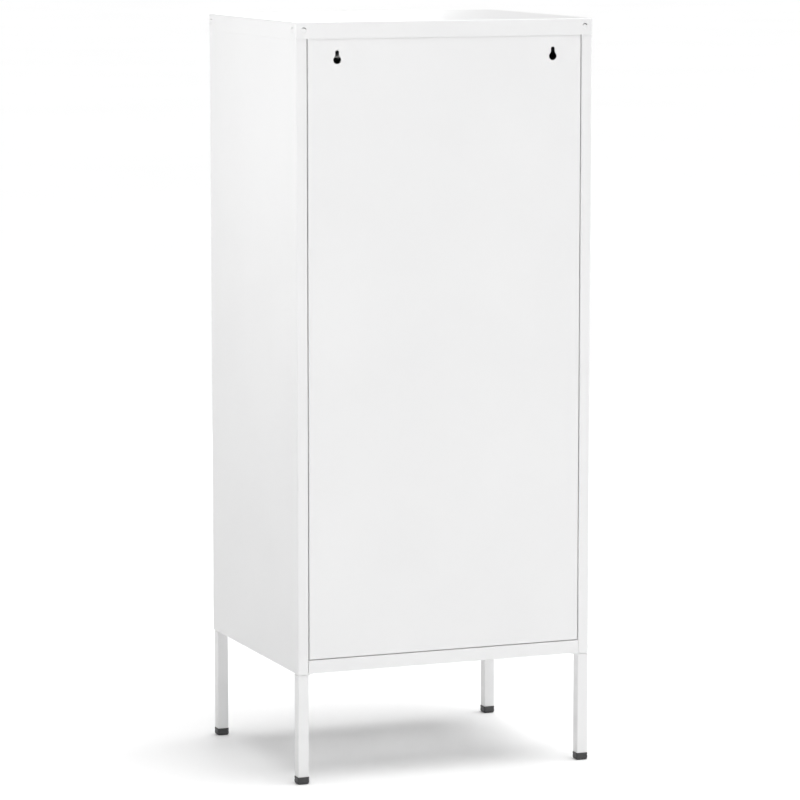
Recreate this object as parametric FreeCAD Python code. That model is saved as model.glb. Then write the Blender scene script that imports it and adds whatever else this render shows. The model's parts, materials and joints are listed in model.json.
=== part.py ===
import FreeCAD, Part

import math
import os

from FreeCAD import Vector

# Two-tier locker cabinet of folded sheet steel on four square legs, with a hinged and
# lockable door in front of each compartment.
# Millimetres, +Z up. The doors face -Y and hang on the -X side. The origin lies on the
# floor under the middle of the cabinet.

# ---------------------------------------------------------------- driving dimensions
WIDTH = 425.0
DEPTH = 350.0
HEIGHT = 1015.0
LEG_HEIGHT = 150.0

SHEET = 0.8
TIGHT_BEND = 0.6
WIDE_BEND = 2.0
FIT = 0.1

CAP_SKIRT = 22.0
CAP_TOP_RADIUS = 2.2
CAP_CORNER_RADIUS = 3.6
DIMPLE_RADIUS = 4.2
DIMPLE_FLOOR_RADIUS = 2.6
DIMPLE_DEPTH = 0.6
DIMPLE_INSET = 12.0

FRONT_FLANGE = 18.0
FRONT_RETURN = 25.0
STOP_LIP = 9.0
REAR_FLANGE = 15.5
REAR_RETURN = 12.0
INNER_FLANGE = 18.0
SEAM = 1.2
SILL = 18.0
SILL_RETURN = 8.0
MIDDLE_RAIL = 24.0

KEYHOLE_SPACING = 308.0
KEYHOLE_Z = 965.0
KEYHOLE_ENTRY_RADIUS = 5.5
KEYHOLE_SLOT_RADIUS = 2.8
KEYHOLE_RISE = 9.7
KEYHOLE_TAPER = 0.8

SHELF_FOLD = 15.0
SHELF_CLEARANCE = 1.5
SHELF_FRONT = -132.0
SHELF_BACK = 158.0
LEDGE_SHEET = 1.0
LEDGE_WIDTH = 14.0
LEDGE_DROP = 12.0
LEDGE_INSET = 10.0

LEG_TUBE = 15.0
LEG_INSET = 0.6
LEG_WALL = 1.0
LEG_EDGE = 1.0
LEG_PLATE = 2.0
LEG_PLATE_REACH = 50.0
LEG_PLATE_SHOULDER = 30.0
FRONT_LEG_INSET = 4.0
FOOT_WALL = 1.0
FOOT_HEIGHT = 10.0
FOOT_FLOOR = 3.0
FOOT_EDGE = 1.5
LEG_BOLT_INSET = 38.5
LEG_BOLT_RADIUS = 3.0
LEG_BOLT_HEAD_RADIUS = 5.75
LEG_BOLT_HEAD = 4.5
LEG_BOLT_REACH = 8.0
LEG_NUT_FLATS = 10.0
LEG_NUT = 5.0

SCREW_RADIUS = 2.0
SCREW_HEAD_RADIUS = 4.0
SCREW_HEAD = 2.4
SCREW_REACH = 7.0
SCREW_NUT_FLATS = 7.0
SCREW_NUT = 3.2
STUD_RADIUS = 2.5
STUD_REACH = 10.0
STUD_NUT_FLATS = 8.0
STUD_NUT = 4.0
FLANGE_SCREW_Y = 90.0
CAP_STUD_Y = 120.0
BACK_SCREW_HEIGHTS = (250.0, 590.0, 930.0)

DOOR_GAP = 1.5
DOOR_DEPTH = 16.0
DOOR_RECESS = 3.0
DOOR_FLANGE = 12.0
DOOR_EDGE = 1.5

HINGE_INSET = 9.0
HINGE_SETBACK = 4.0
PIN_RADIUS = 2.0
PIN_HEAD_RADIUS = 4.0
PIN_HEAD = 1.6
PIN_REACH = 8.0
PIN_CLEARANCE = 0.08
BUSH_RADIUS = 3.1
BUSH_FLANGE_RADIUS = 3.8
BUSH_FLANGE = 1.2
BUSH_LENGTH = 6.0

LOUVRE_LENGTH = 110.0
LOUVRE_HEIGHT = 9.0
LOUVRE_RISE = 2.6
LOUVRE_PITCH = 14.0
LOUVRE_ROWS = 3
LOUVRE_INSET = 36.0

STIFFENER_TOP = 46.0
STIFFENER_CROWN = 26.0
STIFFENER_DEPTH = 12.0
STIFFENER_FOOT = 10.0
STIFFENER_END_GAP = 84.0

LABEL_WIDTH = 78.0
LABEL_HEIGHT = 36.0
LABEL_DROP = 112.0
LABEL_SHEET = 0.7
LABEL_RISE = 1.6
LABEL_BORDER = 5.0
LABEL_EAR = 9.0
CARD_THICKNESS = 0.5
RIVET_RADIUS = 1.6
RIVET_HEAD_RADIUS = 3.0
RIVET_HEAD = 0.9

CUP_WIDTH = 52.0
CUP_HEIGHT = 96.0
CUP_DEPTH = 15.0
CUP_RADIUS = 9.0
CUP_DRAFT = 2.0
CUP_WALL = 1.0
CUP_RIM = 4.0
CUP_RIM_THICKNESS = 1.0
CUP_EDGE_GAP = 0.9
GRIP_LIP = 9.0
GRIP_LIP_LENGTH = 46.0
GRIP_LIP_CURL = 3.0

LOCK_DROP = 24.0
LOCK_FLANGE_RADIUS = 11.0
LOCK_FLANGE = 2.2
LOCK_RADIUS = 9.0
LOCK_FLAT = 7.9
LOCK_BARREL = 14.0
LOCK_NUT_FLATS = 23.0
LOCK_NUT = 4.0
PLUG_RADIUS = 6.0
PLUG_RIM_RADIUS = 7.0
PLUG_RIM = 1.2
PLUG_CLEARANCE = 0.06
PLUG_PROUD = 0.2
PLUG_SQUARE = 7.0
CAM_GAP = 0.3
CAM_SHEET = 2.0
CAM_WIDTH = 14.0
CAM_LENGTH = 41.0
CAM_CRANK_START = 12.0
CAM_CRANK_END = 20.0
CAM_SCREW_HEAD_RADIUS = 4.5
CAM_SCREW_HEAD = 2.8
CAM_SCREW_RADIUS = 2.5
CAM_SCREW_REACH = 6.0
KEYWAY_HEIGHT = 8.0
KEYWAY_WIDTH = 2.2
KEYWAY_DEPTH = 13.0
KEY_BLADE_HEIGHT = 7.6
KEY_SHEET = 2.0
KEY_BOW_RADIUS = 7.6
KEY_BOW_GAP = 0.8
KEY_RING_RADIUS = 2.2

BUMPER_RADIUS = 3.5
BUMPER_CLEARANCE = 0.2
BUMPER_DOME = 1.0
BUMPER_END_INSET = 60.0

# ---------------------------------------------------------------- places worked out from them
BODY_X = WIDTH / 2 - SHEET
BODY_Y = DEPTH / 2 - SHEET
BODY_TOP = HEIGHT - SHEET
WALL_X = BODY_X - SHEET
CAP_BOTTOM = HEIGHT - CAP_SKIRT
OPENING_X = BODY_X - FRONT_FLANGE
LIP_FRONT_Y = -BODY_Y + FRONT_RETURN - SHEET
LIP_BACK_Y = LIP_FRONT_Y + SHEET
REAR_EDGE_X = BODY_X - REAR_FLANGE
BACK_X = REAR_EDGE_X - SEAM
SILL_TOP = LEG_HEIGHT + SILL
RAIL_MIDDLE = (SILL_TOP + CAP_BOTTOM) / 2
RAIL_BOTTOM = RAIL_MIDDLE - MIDDLE_RAIL / 2
RAIL_TOP = RAIL_MIDDLE + MIDDLE_RAIL / 2
FIXING_X = BODY_X - INNER_FLANGE / 2 - SHEET
FLOOR_TOP = LEG_HEIGHT + SHEET

DOOR_FRONT = -BODY_Y + DOOR_RECESS
DOOR_BACK = DOOR_FRONT + DOOR_DEPTH
DOOR_X = OPENING_X - DOOR_GAP
HINGE_X = -DOOR_X + HINGE_INSET
HINGE_Y = DOOR_FRONT + HINGE_SETBACK

CUP_X = DOOR_X - DOOR_FLANGE - CUP_EDGE_GAP - CUP_WIDTH / 2
CUP_FLOOR_Y = DOOR_FRONT + CUP_DEPTH
LOCK_FACE_Y = CUP_FLOOR_Y - LOCK_FLANGE
LOCK_BACK_Y = CUP_FLOOR_Y + LOCK_BARREL
CAM_Y = LOCK_BACK_Y + CAM_GAP
TONGUE_Y = LIP_BACK_Y + CAM_GAP


# ---------------------------------------------------------------- shape helpers
def box(x_range, y_range, z_range):
    """A box between two values on each axis."""
    low = Vector(min(x_range), min(y_range), min(z_range))
    high = Vector(max(x_range), max(y_range), max(z_range))
    size = high - low
    return Part.makeBox(size.x, size.y, size.z, low)


def rod(radius, start, end):
    """A cylinder from one point to another."""
    span = end - start
    return Part.makeCylinder(radius, span.Length, start, span)


def hexagon(across_flats, start, end):
    """A hexagonal prism from one point to another."""
    span = end - start
    sideways = Vector(1, 0, 0) if abs(span.x) < span.Length / 2 else Vector(0, 0, 1)
    corner_radius = across_flats / math.sqrt(3)
    points = []
    for turn in range(6):
        corner = FreeCAD.Rotation(span, 60 * turn).multVec(sideways)
        points.append(start + corner * corner_radius)
    return Part.Face(Part.makePolygon(points + points[:1])).extrude(span)


def fused(shapes):
    """One clean solid out of several that touch or overlap."""
    shapes = list(shapes)
    return shapes[0].multiFuse(shapes[1:]).removeSplitter()


def mirrored_x(shape):
    """The same shape on the other side of the cabinet."""
    return shape.mirror(Vector(0, 0, 0), Vector(1, 0, 0))


def pair(shape):
    """A shape and its mirror image, as separate solids of one group."""
    return Part.makeCompound([shape, mirrored_x(shape)])


def rounded_wire(points, radii):
    """A closed outline whose corners are rounded, each by its own radius."""
    entries = []
    exits = []
    edges = []
    for index, point in enumerate(points):
        to_last = (points[index - 1] - point).normalize()
        to_next = (points[(index + 1) % len(points)] - point).normalize()
        radius = radii[index]
        if radius <= 0:
            entries.append(point)
            exits.append(point)
            continue
        half_angle = to_last.getAngle(to_next) / 2
        bisector = (to_last + to_next).normalize()
        reach = radius / math.tan(half_angle)
        middle = point + bisector * (radius / math.sin(half_angle) - radius)
        entries.append(point + to_last * reach)
        exits.append(point + to_next * reach)
        edges.append(Part.Arc(entries[-1], middle, exits[-1]).toShape())
    for index, leave in enumerate(exits):
        arrive = entries[(index + 1) % len(points)]
        if leave.distanceToPoint(arrive) > FIT / 100:
            edges.append(Part.LineSegment(leave, arrive).toShape())
    return Part.Wire(Part.__sortEdges__(edges))


def sheet_outline(path, bends, thickness):
    """Corner points and radii of a bent sheet seen on edge.

    The path runs along one face of the sheet, and the sheet lies to its left. The bends
    are the inside radii at the corners between the path's two ends.
    """
    headings = []
    for start, end in zip(path, path[1:]):
        length = math.dist(start, end)
        headings.append(((end[0] - start[0]) / length, (end[1] - start[1]) / length))
    far_points = []
    near_radii = [0.0]
    far_radii = [0.0]
    for index, point in enumerate(path):
        before = headings[max(index - 1, 0)]
        after = headings[min(index, len(headings) - 1)]
        share = 1 + before[0] * after[0] + before[1] * after[1]
        across = (-(before[1] + after[1]) / share, (before[0] + after[0]) / share)
        far_points.append((point[0] + across[0] * thickness, point[1] + across[1] * thickness))
        if 0 < index < len(path) - 1:
            turns_left = before[0] * after[1] - before[1] * after[0] > 0
            bend = bends[index - 1]
            near_radii.append(bend + thickness if turns_left else bend)
            far_radii.append(bend if turns_left else bend + thickness)
    near_radii.append(0.0)
    far_radii.append(0.0)
    return path + far_points[::-1], near_radii + far_radii[::-1]


def folded_upright(path, bends, z_range):
    """A sheet folded along upright lines; the path holds (x, y) points."""
    points, radii = sheet_outline(path, bends, SHEET)
    low, high = z_range
    corners = [Vector(x, y, low) for x, y in points]
    return Part.Face(rounded_wire(corners, radii)).extrude(Vector(0, 0, high - low))


def folded_across(path, bends, x_range):
    """A sheet folded along lines that run across the cabinet; the path holds (y, z) points."""
    points, radii = sheet_outline(path, bends, SHEET)
    low, high = x_range
    corners = [Vector(low, y, z) for y, z in points]
    return Part.Face(rounded_wire(corners, radii)).extrude(Vector(high - low, 0, 0))


def edges_between(shape, low, high):
    """The edges of a shape that lie wholly inside a box given by two corners."""
    bounds = FreeCAD.BoundBox(low, high)
    return [edge for edge in shape.Edges if bounds.isInside(edge.BoundBox)]


def upright_edges(shape):
    """The straight edges of a shape that stand upright."""
    chosen = []
    for edge in shape.Edges:
        bounds = edge.BoundBox
        if bounds.ZLength > FIT and bounds.XLength < FIT and bounds.YLength < FIT:
            chosen.append(edge)
    return chosen


def rounded_panel(x, z, width, height, radius, y):
    """The outline of a rounded rectangle that faces along Y."""
    corners = []
    for side_x, side_z in ((-1, -1), (1, -1), (1, 1), (-1, 1)):
        corners.append(Vector(x + side_x * width / 2, y, z + side_z * height / 2))
    return rounded_wire(corners, [radius] * len(corners))


# ---------------------------------------------------------------- carcass
def rounded_block(half_x, half_y, bottom, top, corner_radius, top_radius):
    """A solid block with rounded upright corners and rounded top edges."""
    block = box((-half_x, half_x), (-half_y, half_y), (bottom, top))
    block = block.makeFillet(corner_radius, upright_edges(block))
    rim_low = Vector(-half_x - FIT, -half_y - FIT, top - FIT)
    rim_high = Vector(half_x + FIT, half_y + FIT, top + FIT)
    return block.makeFillet(top_radius, edges_between(block, rim_low, rim_high))


def dimple(place, direction):
    """The shallow cone that is pressed into the cap's skirt."""
    return Part.makeCone(DIMPLE_RADIUS, DIMPLE_FLOOR_RADIUS, DIMPLE_DEPTH, place, direction)


def cap_dimples():
    """Two dimples near each upright corner of the skirt, one on each face."""
    height = HEIGHT - CAP_SKIRT / 2
    dimples = []
    for side in (-1, 1):
        for end in (-1, 1):
            on_end_face = Vector(side * (WIDTH / 2 - DIMPLE_INSET), end * DEPTH / 2, height)
            on_side_face = Vector(side * WIDTH / 2, end * (DEPTH / 2 - DIMPLE_INSET), height)
            dimples.append(dimple(on_end_face, Vector(0, -end, 0)))
            dimples.append(dimple(on_side_face, Vector(-side, 0, 0)))
    return dimples


def top_cap():
    """The lid: a top sheet, a skirt all round, and a header folded back over the doors."""
    outside = rounded_block(
        WIDTH / 2, DEPTH / 2, CAP_BOTTOM, HEIGHT, CAP_CORNER_RADIUS, CAP_TOP_RADIUS
    )
    inside = rounded_block(
        BODY_X, BODY_Y, CAP_BOTTOM - SHEET, BODY_TOP,
        CAP_CORNER_RADIUS - SHEET, CAP_TOP_RADIUS - SHEET,
    )
    header = folded_across(
        [
            (-DEPTH / 2 + SHEET, CAP_BOTTOM),
            (LIP_FRONT_Y, CAP_BOTTOM),
            (LIP_FRONT_Y, CAP_BOTTOM + SILL_RETURN),
        ],
        [TIGHT_BEND],
        (-OPENING_X, OPENING_X),
    )
    shell = fused([outside.cut(inside), header])
    shell = shell.cut(Part.makeCompound(cap_dimples()))
    return shell.cut(hinge_hole(CAP_BOTTOM))


def side_panel():
    """The right side: door stop lip, front return, front flange, wall, rear flange, return."""
    path = [
        (OPENING_X - STOP_LIP, LIP_FRONT_Y),
        (OPENING_X, LIP_FRONT_Y),
        (OPENING_X, -BODY_Y),
        (BODY_X, -BODY_Y),
        (BODY_X, BODY_Y),
        (REAR_EDGE_X, BODY_Y),
        (REAR_EDGE_X, BODY_Y - REAR_RETURN),
    ]
    bends = [TIGHT_BEND, TIGHT_BEND, WIDE_BEND, WIDE_BEND, TIGHT_BEND]
    wall = folded_upright(path, bends, (LEG_HEIGHT, BODY_TOP))
    depth = BODY_Y - SHEET
    wall = wall.cut(box((0, WALL_X), (-depth, depth), (LEG_HEIGHT - FIT, FLOOR_TOP)))
    flange_y = (LIP_BACK_Y + SHEET, BODY_Y - REAR_RETURN - SHEET)
    flange_x = (BODY_X - INNER_FLANGE, BODY_X - SHEET / 2)
    foot_flange = box(flange_x, flange_y, (FLOOR_TOP, FLOOR_TOP + SHEET))
    head_flange = box(flange_x, flange_y, (BODY_TOP - SHEET, BODY_TOP))
    under_cap = rounded_block(
        BODY_X, BODY_Y, LEG_HEIGHT - FIT, BODY_TOP, WIDE_BEND + SHEET, CAP_TOP_RADIUS - SHEET
    )
    panel = fused([wall, foot_flange, head_flange]).common(under_cap)
    holes = []
    for y in (-FLANGE_SCREW_Y, FLANGE_SCREW_Y):
        start = Vector(FIXING_X, y, LEG_HEIGHT)
        holes.append(rod(SCREW_RADIUS, start, start + Vector(0, 0, SILL)))
    for y in (-CAP_STUD_Y, CAP_STUD_Y):
        start = Vector(FIXING_X, y, CAP_BOTTOM)
        holes.append(rod(STUD_RADIUS, start, start + Vector(0, 0, CAP_SKIRT)))
    for height in BACK_SCREW_HEIGHTS:
        holes.append(back_screw_shank(height))
    return panel.cut(Part.makeCompound(holes))


def keyhole(x):
    """The cutter for one keyhole: a round entry with a narrower slot above it."""
    front = BODY_Y - 2 * SHEET
    back = BODY_Y + SHEET
    entry = rod(KEYHOLE_ENTRY_RADIUS, Vector(x, front, KEYHOLE_Z), Vector(x, back, KEYHOLE_Z))
    top = KEYHOLE_Z + KEYHOLE_RISE
    head = rod(KEYHOLE_SLOT_RADIUS, Vector(x, front, top), Vector(x, back, top))
    wide = KEYHOLE_SLOT_RADIUS + KEYHOLE_TAPER
    shoulder = KEYHOLE_Z + math.sqrt(KEYHOLE_ENTRY_RADIUS ** 2 - wide ** 2)
    neck = shoulder + 2 * KEYHOLE_TAPER
    outline = [
        Vector(x - wide, front, KEYHOLE_Z),
        Vector(x + wide, front, KEYHOLE_Z),
        Vector(x + wide, front, shoulder),
        Vector(x + KEYHOLE_SLOT_RADIUS, front, neck),
        Vector(x + KEYHOLE_SLOT_RADIUS, front, top),
        Vector(x - KEYHOLE_SLOT_RADIUS, front, top),
        Vector(x - KEYHOLE_SLOT_RADIUS, front, neck),
        Vector(x - wide, front, shoulder),
    ]
    slot = Part.Face(Part.makePolygon(outline + outline[:1])).extrude(Vector(0, back - front, 0))
    return fused([entry, slot, head])


def back_panel():
    """A flat pan whose four edges fold forward, with two keyholes to hang it by."""
    bottom = SILL_TOP + SEAM
    top = BODY_TOP - 2 * SHEET
    path = [
        (BACK_X, BODY_Y - REAR_RETURN),
        (BACK_X, BODY_Y),
        (-BACK_X, BODY_Y),
        (-BACK_X, BODY_Y - REAR_RETURN),
    ]
    sheet = folded_upright(path, [TIGHT_BEND, TIGHT_BEND], (bottom, top))
    folds = []
    for low in (bottom, top - SHEET):
        inside_x = BACK_X - SHEET
        folds.append(
            box((-inside_x, inside_x), (BODY_Y - REAR_RETURN, BODY_Y - SHEET), (low, low + SHEET))
        )
    panel = fused([sheet] + folds)
    cuts = [keyhole(-KEYHOLE_SPACING / 2), keyhole(KEYHOLE_SPACING / 2)]
    for height in BACK_SCREW_HEIGHTS:
        cuts.append(back_screw_shank(height))
        cuts.append(mirrored_x(back_screw_shank(height)))
    return panel.cut(Part.makeCompound(cuts))


def bottom_tray():
    """The floor with its front sill and its back skirt, folded from one sheet."""
    path = [
        (LIP_FRONT_Y, SILL_TOP - SILL_RETURN),
        (LIP_FRONT_Y, SILL_TOP),
        (-BODY_Y, SILL_TOP),
        (-BODY_Y, LEG_HEIGHT),
        (BODY_Y, LEG_HEIGHT),
        (BODY_Y, SILL_TOP),
        (BODY_Y - REAR_RETURN, SILL_TOP),
    ]
    half_back = REAR_EDGE_X - 2 * FIT
    tray = folded_across(path, [TIGHT_BEND] * 5, (-half_back, half_back))
    depth = BODY_Y - SHEET
    half_front = OPENING_X - FIT
    for side in (-1, 1):
        beyond = (side * half_front, side * WIDTH)
        tray = tray.cut(box(beyond, (-DEPTH, LIP_BACK_Y + SHEET), (0, HEIGHT)))
    floor = box((-WALL_X, WALL_X), (-depth, depth), (LEG_HEIGHT, FLOOR_TOP))
    tray = fused([tray, floor])
    cuts = [hinge_hole(SILL_TOP - SHEET)]
    for x in (-FIXING_X, FIXING_X):
        for y in (-FLANGE_SCREW_Y, FLANGE_SCREW_Y):
            cuts.append(rod(SCREW_RADIUS, Vector(x, y, 0), Vector(x, y, SILL_TOP)))
    for x, y in leg_bolt_places():
        cuts.append(rod(LEG_BOLT_RADIUS, Vector(x, y, 0), Vector(x, y, SILL_TOP)))
    return tray.cut(Part.makeCompound(cuts))


def middle_rail():
    """The channel across the front between the two doors."""
    path = [
        (LIP_FRONT_Y, RAIL_TOP),
        (-BODY_Y, RAIL_TOP),
        (-BODY_Y, RAIL_BOTTOM),
        (LIP_FRONT_Y, RAIL_BOTTOM),
    ]
    rail = folded_across(path, [TIGHT_BEND, TIGHT_BEND], (-OPENING_X, OPENING_X))
    return rail.cut(hinge_hole(RAIL_TOP - SHEET)).cut(hinge_hole(RAIL_BOTTOM))


def shelf(top, front):
    """A shelf with all four edges folded down."""
    half = WALL_X - SHELF_CLEARANCE
    outside = box((-half, half), (front, SHELF_BACK), (top - SHELF_FOLD, top))
    rim_low = Vector(-half - FIT, front - FIT, top - FIT)
    rim_high = Vector(half + FIT, SHELF_BACK + FIT, top + FIT)
    outside = outside.makeFillet(TIGHT_BEND + SHEET, edges_between(outside, rim_low, rim_high))
    inside = box(
        (-half + SHEET, half - SHEET),
        (front + SHEET, SHELF_BACK - SHEET),
        (top - SHELF_FOLD - SHEET, top - SHEET),
    )
    return outside.cut(inside)


def ledges(top, front):
    """The two angle strips welded to the side walls that carry a shelf."""
    level = top - SHELF_FOLD
    ends = (front + LEDGE_INSET, SHELF_BACK - LEDGE_INSET)
    seat = box((WALL_X - LEDGE_WIDTH, WALL_X), ends, (level - LEDGE_SHEET, level))
    web = box((WALL_X - LEDGE_SHEET, WALL_X), ends, (level - LEDGE_DROP, level - LEDGE_SHEET / 2))
    return pair(fused([seat, web]))


# ---------------------------------------------------------------- legs and feet
def leg_corner(side, end):
    """The outer corner of a leg, seen from above."""
    inset = FRONT_LEG_INSET if end < 0 else LEG_INSET
    return Vector(side * (BODY_X - LEG_INSET), end * (BODY_Y - inset), 0)


def leg_bolt_places():
    """The (x, y) places of the four leg bolts."""
    places = []
    for side in (-1, 1):
        for end in (-1, 1):
            corner = leg_corner(side, end)
            places.append((corner.x - side * LEG_BOLT_INSET, corner.y - end * LEG_BOLT_INSET))
    return places


def leg(side, end):
    """A square tube welded under a plate that reaches inward to its bolt."""
    corner = leg_corner(side, end)
    plate_low = LEG_HEIGHT - LEG_PLATE
    x_range = (corner.x, corner.x - side * LEG_TUBE)
    y_range = (corner.y, corner.y - end * LEG_TUBE)
    tube = box(x_range, y_range, (FOOT_FLOOR, plate_low))
    tube = tube.makeFillet(LEG_EDGE, upright_edges(tube))
    bore_x = (corner.x - side * LEG_WALL, corner.x - side * (LEG_TUBE - LEG_WALL))
    bore_y = (corner.y - end * LEG_WALL, corner.y - end * (LEG_TUBE - LEG_WALL))
    tube = tube.cut(box(bore_x, bore_y, (0, plate_low)))
    outline = []
    for inward_x, inward_y in (
        (0, 0),
        (LEG_TUBE, 0),
        (LEG_PLATE_REACH, LEG_PLATE_SHOULDER),
        (LEG_PLATE_REACH, LEG_PLATE_REACH),
        (LEG_PLATE_SHOULDER, LEG_PLATE_REACH),
        (0, LEG_TUBE),
    ):
        outline.append(Vector(corner.x - side * inward_x, corner.y - end * inward_y, plate_low))
    plate = Part.Face(Part.makePolygon(outline + outline[:1])).extrude(Vector(0, 0, LEG_PLATE))
    x = corner.x - side * LEG_BOLT_INSET
    y = corner.y - end * LEG_BOLT_INSET
    hole = rod(LEG_BOLT_RADIUS, Vector(x, y, 0), Vector(x, y, SILL_TOP))
    return fused([tube, plate]).cut(hole)


def foot_cap(side, end):
    """A plastic cap that the end of the tube stands in."""
    corner = leg_corner(side, end)
    x_range = (corner.x + side * FOOT_WALL, corner.x - side * (LEG_TUBE + FOOT_WALL))
    y_range = (corner.y + end * FOOT_WALL, corner.y - end * (LEG_TUBE + FOOT_WALL))
    cap = box(x_range, y_range, (0, FOOT_HEIGHT))
    cap = cap.makeFillet(FOOT_EDGE, upright_edges(cap))
    sole = [edge for edge in cap.Edges if edge.BoundBox.ZMax < FIT]
    cap = cap.makeFillet(FOOT_EDGE / 2, sole)
    pocket = box(
        (corner.x, corner.x - side * LEG_TUBE),
        (corner.y, corner.y - end * LEG_TUBE),
        (FOOT_FLOOR, FOOT_HEIGHT + FIT),
    )
    return cap.cut(pocket)


# ---------------------------------------------------------------- fixings
def leg_bolts():
    """A domed bolt through each leg plate and the floor."""
    bolts = []
    for x, y in leg_bolt_places():
        seat = Vector(x, y, LEG_HEIGHT - LEG_PLATE)
        shank = rod(LEG_BOLT_RADIUS, seat, Vector(x, y, FLOOR_TOP + LEG_BOLT_REACH))
        head = rod(LEG_BOLT_HEAD_RADIUS, seat - Vector(0, 0, LEG_BOLT_HEAD), seat)
        crown = [edge for edge in head.Edges if edge.BoundBox.ZMax < seat.z - FIT]
        head = head.makeFillet(LEG_BOLT_HEAD * 2 / 3, crown)
        bolts.append(fused([shank, head]))
    return Part.makeCompound(bolts)


def leg_nuts():
    """The nuts of the leg bolts, on the floor inside."""
    nuts = []
    for x, y in leg_bolt_places():
        nut = hexagon(LEG_NUT_FLATS, Vector(x, y, FLOOR_TOP), Vector(x, y, FLOOR_TOP + LEG_NUT))
        nuts.append(nut.cut(rod(LEG_BOLT_RADIUS, Vector(x, y, 0), Vector(x, y, HEIGHT))))
    return Part.makeCompound(nuts)


def pan_screw(seat, direction, reach):
    """A screw whose rounded head sits on a face and whose shank goes into it."""
    away = seat - direction * SCREW_HEAD
    head = rod(SCREW_HEAD_RADIUS, seat, away)
    crown = [edge for edge in head.Edges if edge.CenterOfMass.distanceToPoint(away) < FIT]
    head = head.makeFillet(SCREW_HEAD / 2, crown)
    return fused([head, rod(SCREW_RADIUS, seat, seat + direction * reach)])


def drilled_nut(flats, height, bore, seat, direction):
    """A hexagonal nut on a face, around its screw."""
    nut = hexagon(flats, seat, seat + direction * height)
    return nut.cut(rod(bore, seat - direction, seat + direction * (height + 1)))


def floor_fixing_places():
    """Where the floor is screwed to the flanges of the sides."""
    return [(x, y) for x in (-FIXING_X, FIXING_X) for y in (-FLANGE_SCREW_Y, FLANGE_SCREW_Y)]


def floor_screws():
    """Screws from below through the floor and the side flanges."""
    up = Vector(0, 0, 1)
    screws = []
    for x, y in floor_fixing_places():
        screws.append(pan_screw(Vector(x, y, LEG_HEIGHT), up, SCREW_REACH))
    return Part.makeCompound(screws)


def floor_nuts():
    """The nuts of the floor screws."""
    up = Vector(0, 0, 1)
    seat_z = FLOOR_TOP + SHEET
    nuts = []
    for x, y in floor_fixing_places():
        nuts.append(drilled_nut(SCREW_NUT_FLATS, SCREW_NUT, SCREW_RADIUS, Vector(x, y, seat_z), up))
    return Part.makeCompound(nuts)


def cap_studs():
    """Threaded studs welded under the cap."""
    studs = []
    for x in (-FIXING_X, FIXING_X):
        for y in (-CAP_STUD_Y, CAP_STUD_Y):
            top = Vector(x, y, BODY_TOP)
            studs.append(rod(STUD_RADIUS, top - Vector(0, 0, STUD_REACH), top))
    return Part.makeCompound(studs)


def cap_nuts():
    """The nuts that hold the cap down on the flanges of the sides."""
    nuts = []
    for x in (-FIXING_X, FIXING_X):
        for y in (-CAP_STUD_Y, CAP_STUD_Y):
            seat = Vector(x, y, BODY_TOP - SHEET)
            nuts.append(drilled_nut(STUD_NUT_FLATS, STUD_NUT, STUD_RADIUS, seat, Vector(0, 0, -1)))
    return Part.makeCompound(nuts)


def back_screw_seat(height):
    """The point on the inner face of the back panel's fold where a screw head sits."""
    return Vector(BACK_X - SHEET, BODY_Y - REAR_RETURN / 2 - SHEET / 2, height)


def back_screw_shank(height):
    """The space that a back panel screw's shank takes through both folds."""
    seat = back_screw_seat(height)
    return rod(SCREW_RADIUS, seat - Vector(SHEET, 0, 0), seat + Vector(SCREW_REACH, 0, 0))


def back_panel_screws():
    """Screws that join the folds of the back panel to the returns of the sides."""
    screws = []
    for height in BACK_SCREW_HEIGHTS:
        screw = pan_screw(back_screw_seat(height), Vector(1, 0, 0), SCREW_REACH)
        screws += [screw, mirrored_x(screw)]
    return Part.makeCompound(screws)


def back_panel_nuts():
    """The nuts of the back panel screws, hidden in the rear corners."""
    nuts = []
    for height in BACK_SCREW_HEIGHTS:
        seat = back_screw_seat(height)
        seat.x = REAR_EDGE_X + SHEET
        nut = drilled_nut(SCREW_NUT_FLATS, SCREW_NUT, SCREW_RADIUS, seat, Vector(1, 0, 0))
        nuts += [nut, mirrored_x(nut)]
    return Part.makeCompound(nuts)


# ---------------------------------------------------------------- hinges and stops
def hinge_hole(level):
    """The hole for a hinge pin through a horizontal fold that starts at a level."""
    start = Vector(HINGE_X, HINGE_Y, level - SHEET)
    return rod(PIN_RADIUS, start, start + Vector(0, 0, 3 * SHEET))


def hinge_pin(face, direction):
    """A headed pin in the frame that points into a door from a face of the opening."""
    inward = Vector(0, 0, direction)
    seat = Vector(HINGE_X, HINGE_Y, face) - inward * SHEET
    head = rod(PIN_HEAD_RADIUS, seat - inward * PIN_HEAD, seat)
    shank = rod(PIN_RADIUS, seat, seat + inward * (SHEET + DOOR_GAP + PIN_REACH))
    return fused([head, shank])


def hinge_pins(low, high):
    """The two pins that a door turns on."""
    return Part.makeCompound([hinge_pin(low, 1), hinge_pin(high, -1)])


def hinge_bush(door_edge, direction):
    """A flanged plastic bush in a door's edge; the direction points into the door."""
    inward = Vector(0, 0, direction)
    seat = Vector(HINGE_X, HINGE_Y, door_edge)
    flange = rod(BUSH_FLANGE_RADIUS, seat - inward * BUSH_FLANGE, seat)
    sleeve = rod(BUSH_RADIUS, seat, seat + inward * BUSH_LENGTH)
    bore = rod(
        PIN_RADIUS + PIN_CLEARANCE, seat - inward * DOOR_GAP, seat + inward * (BUSH_LENGTH + SHEET)
    )
    return fused([flange, sleeve]).cut(bore)


def hinge_bushes(low, high):
    """The bushes in a door's lower and upper edges."""
    return Part.makeCompound([hinge_bush(low, 1), hinge_bush(high, -1)])


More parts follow.
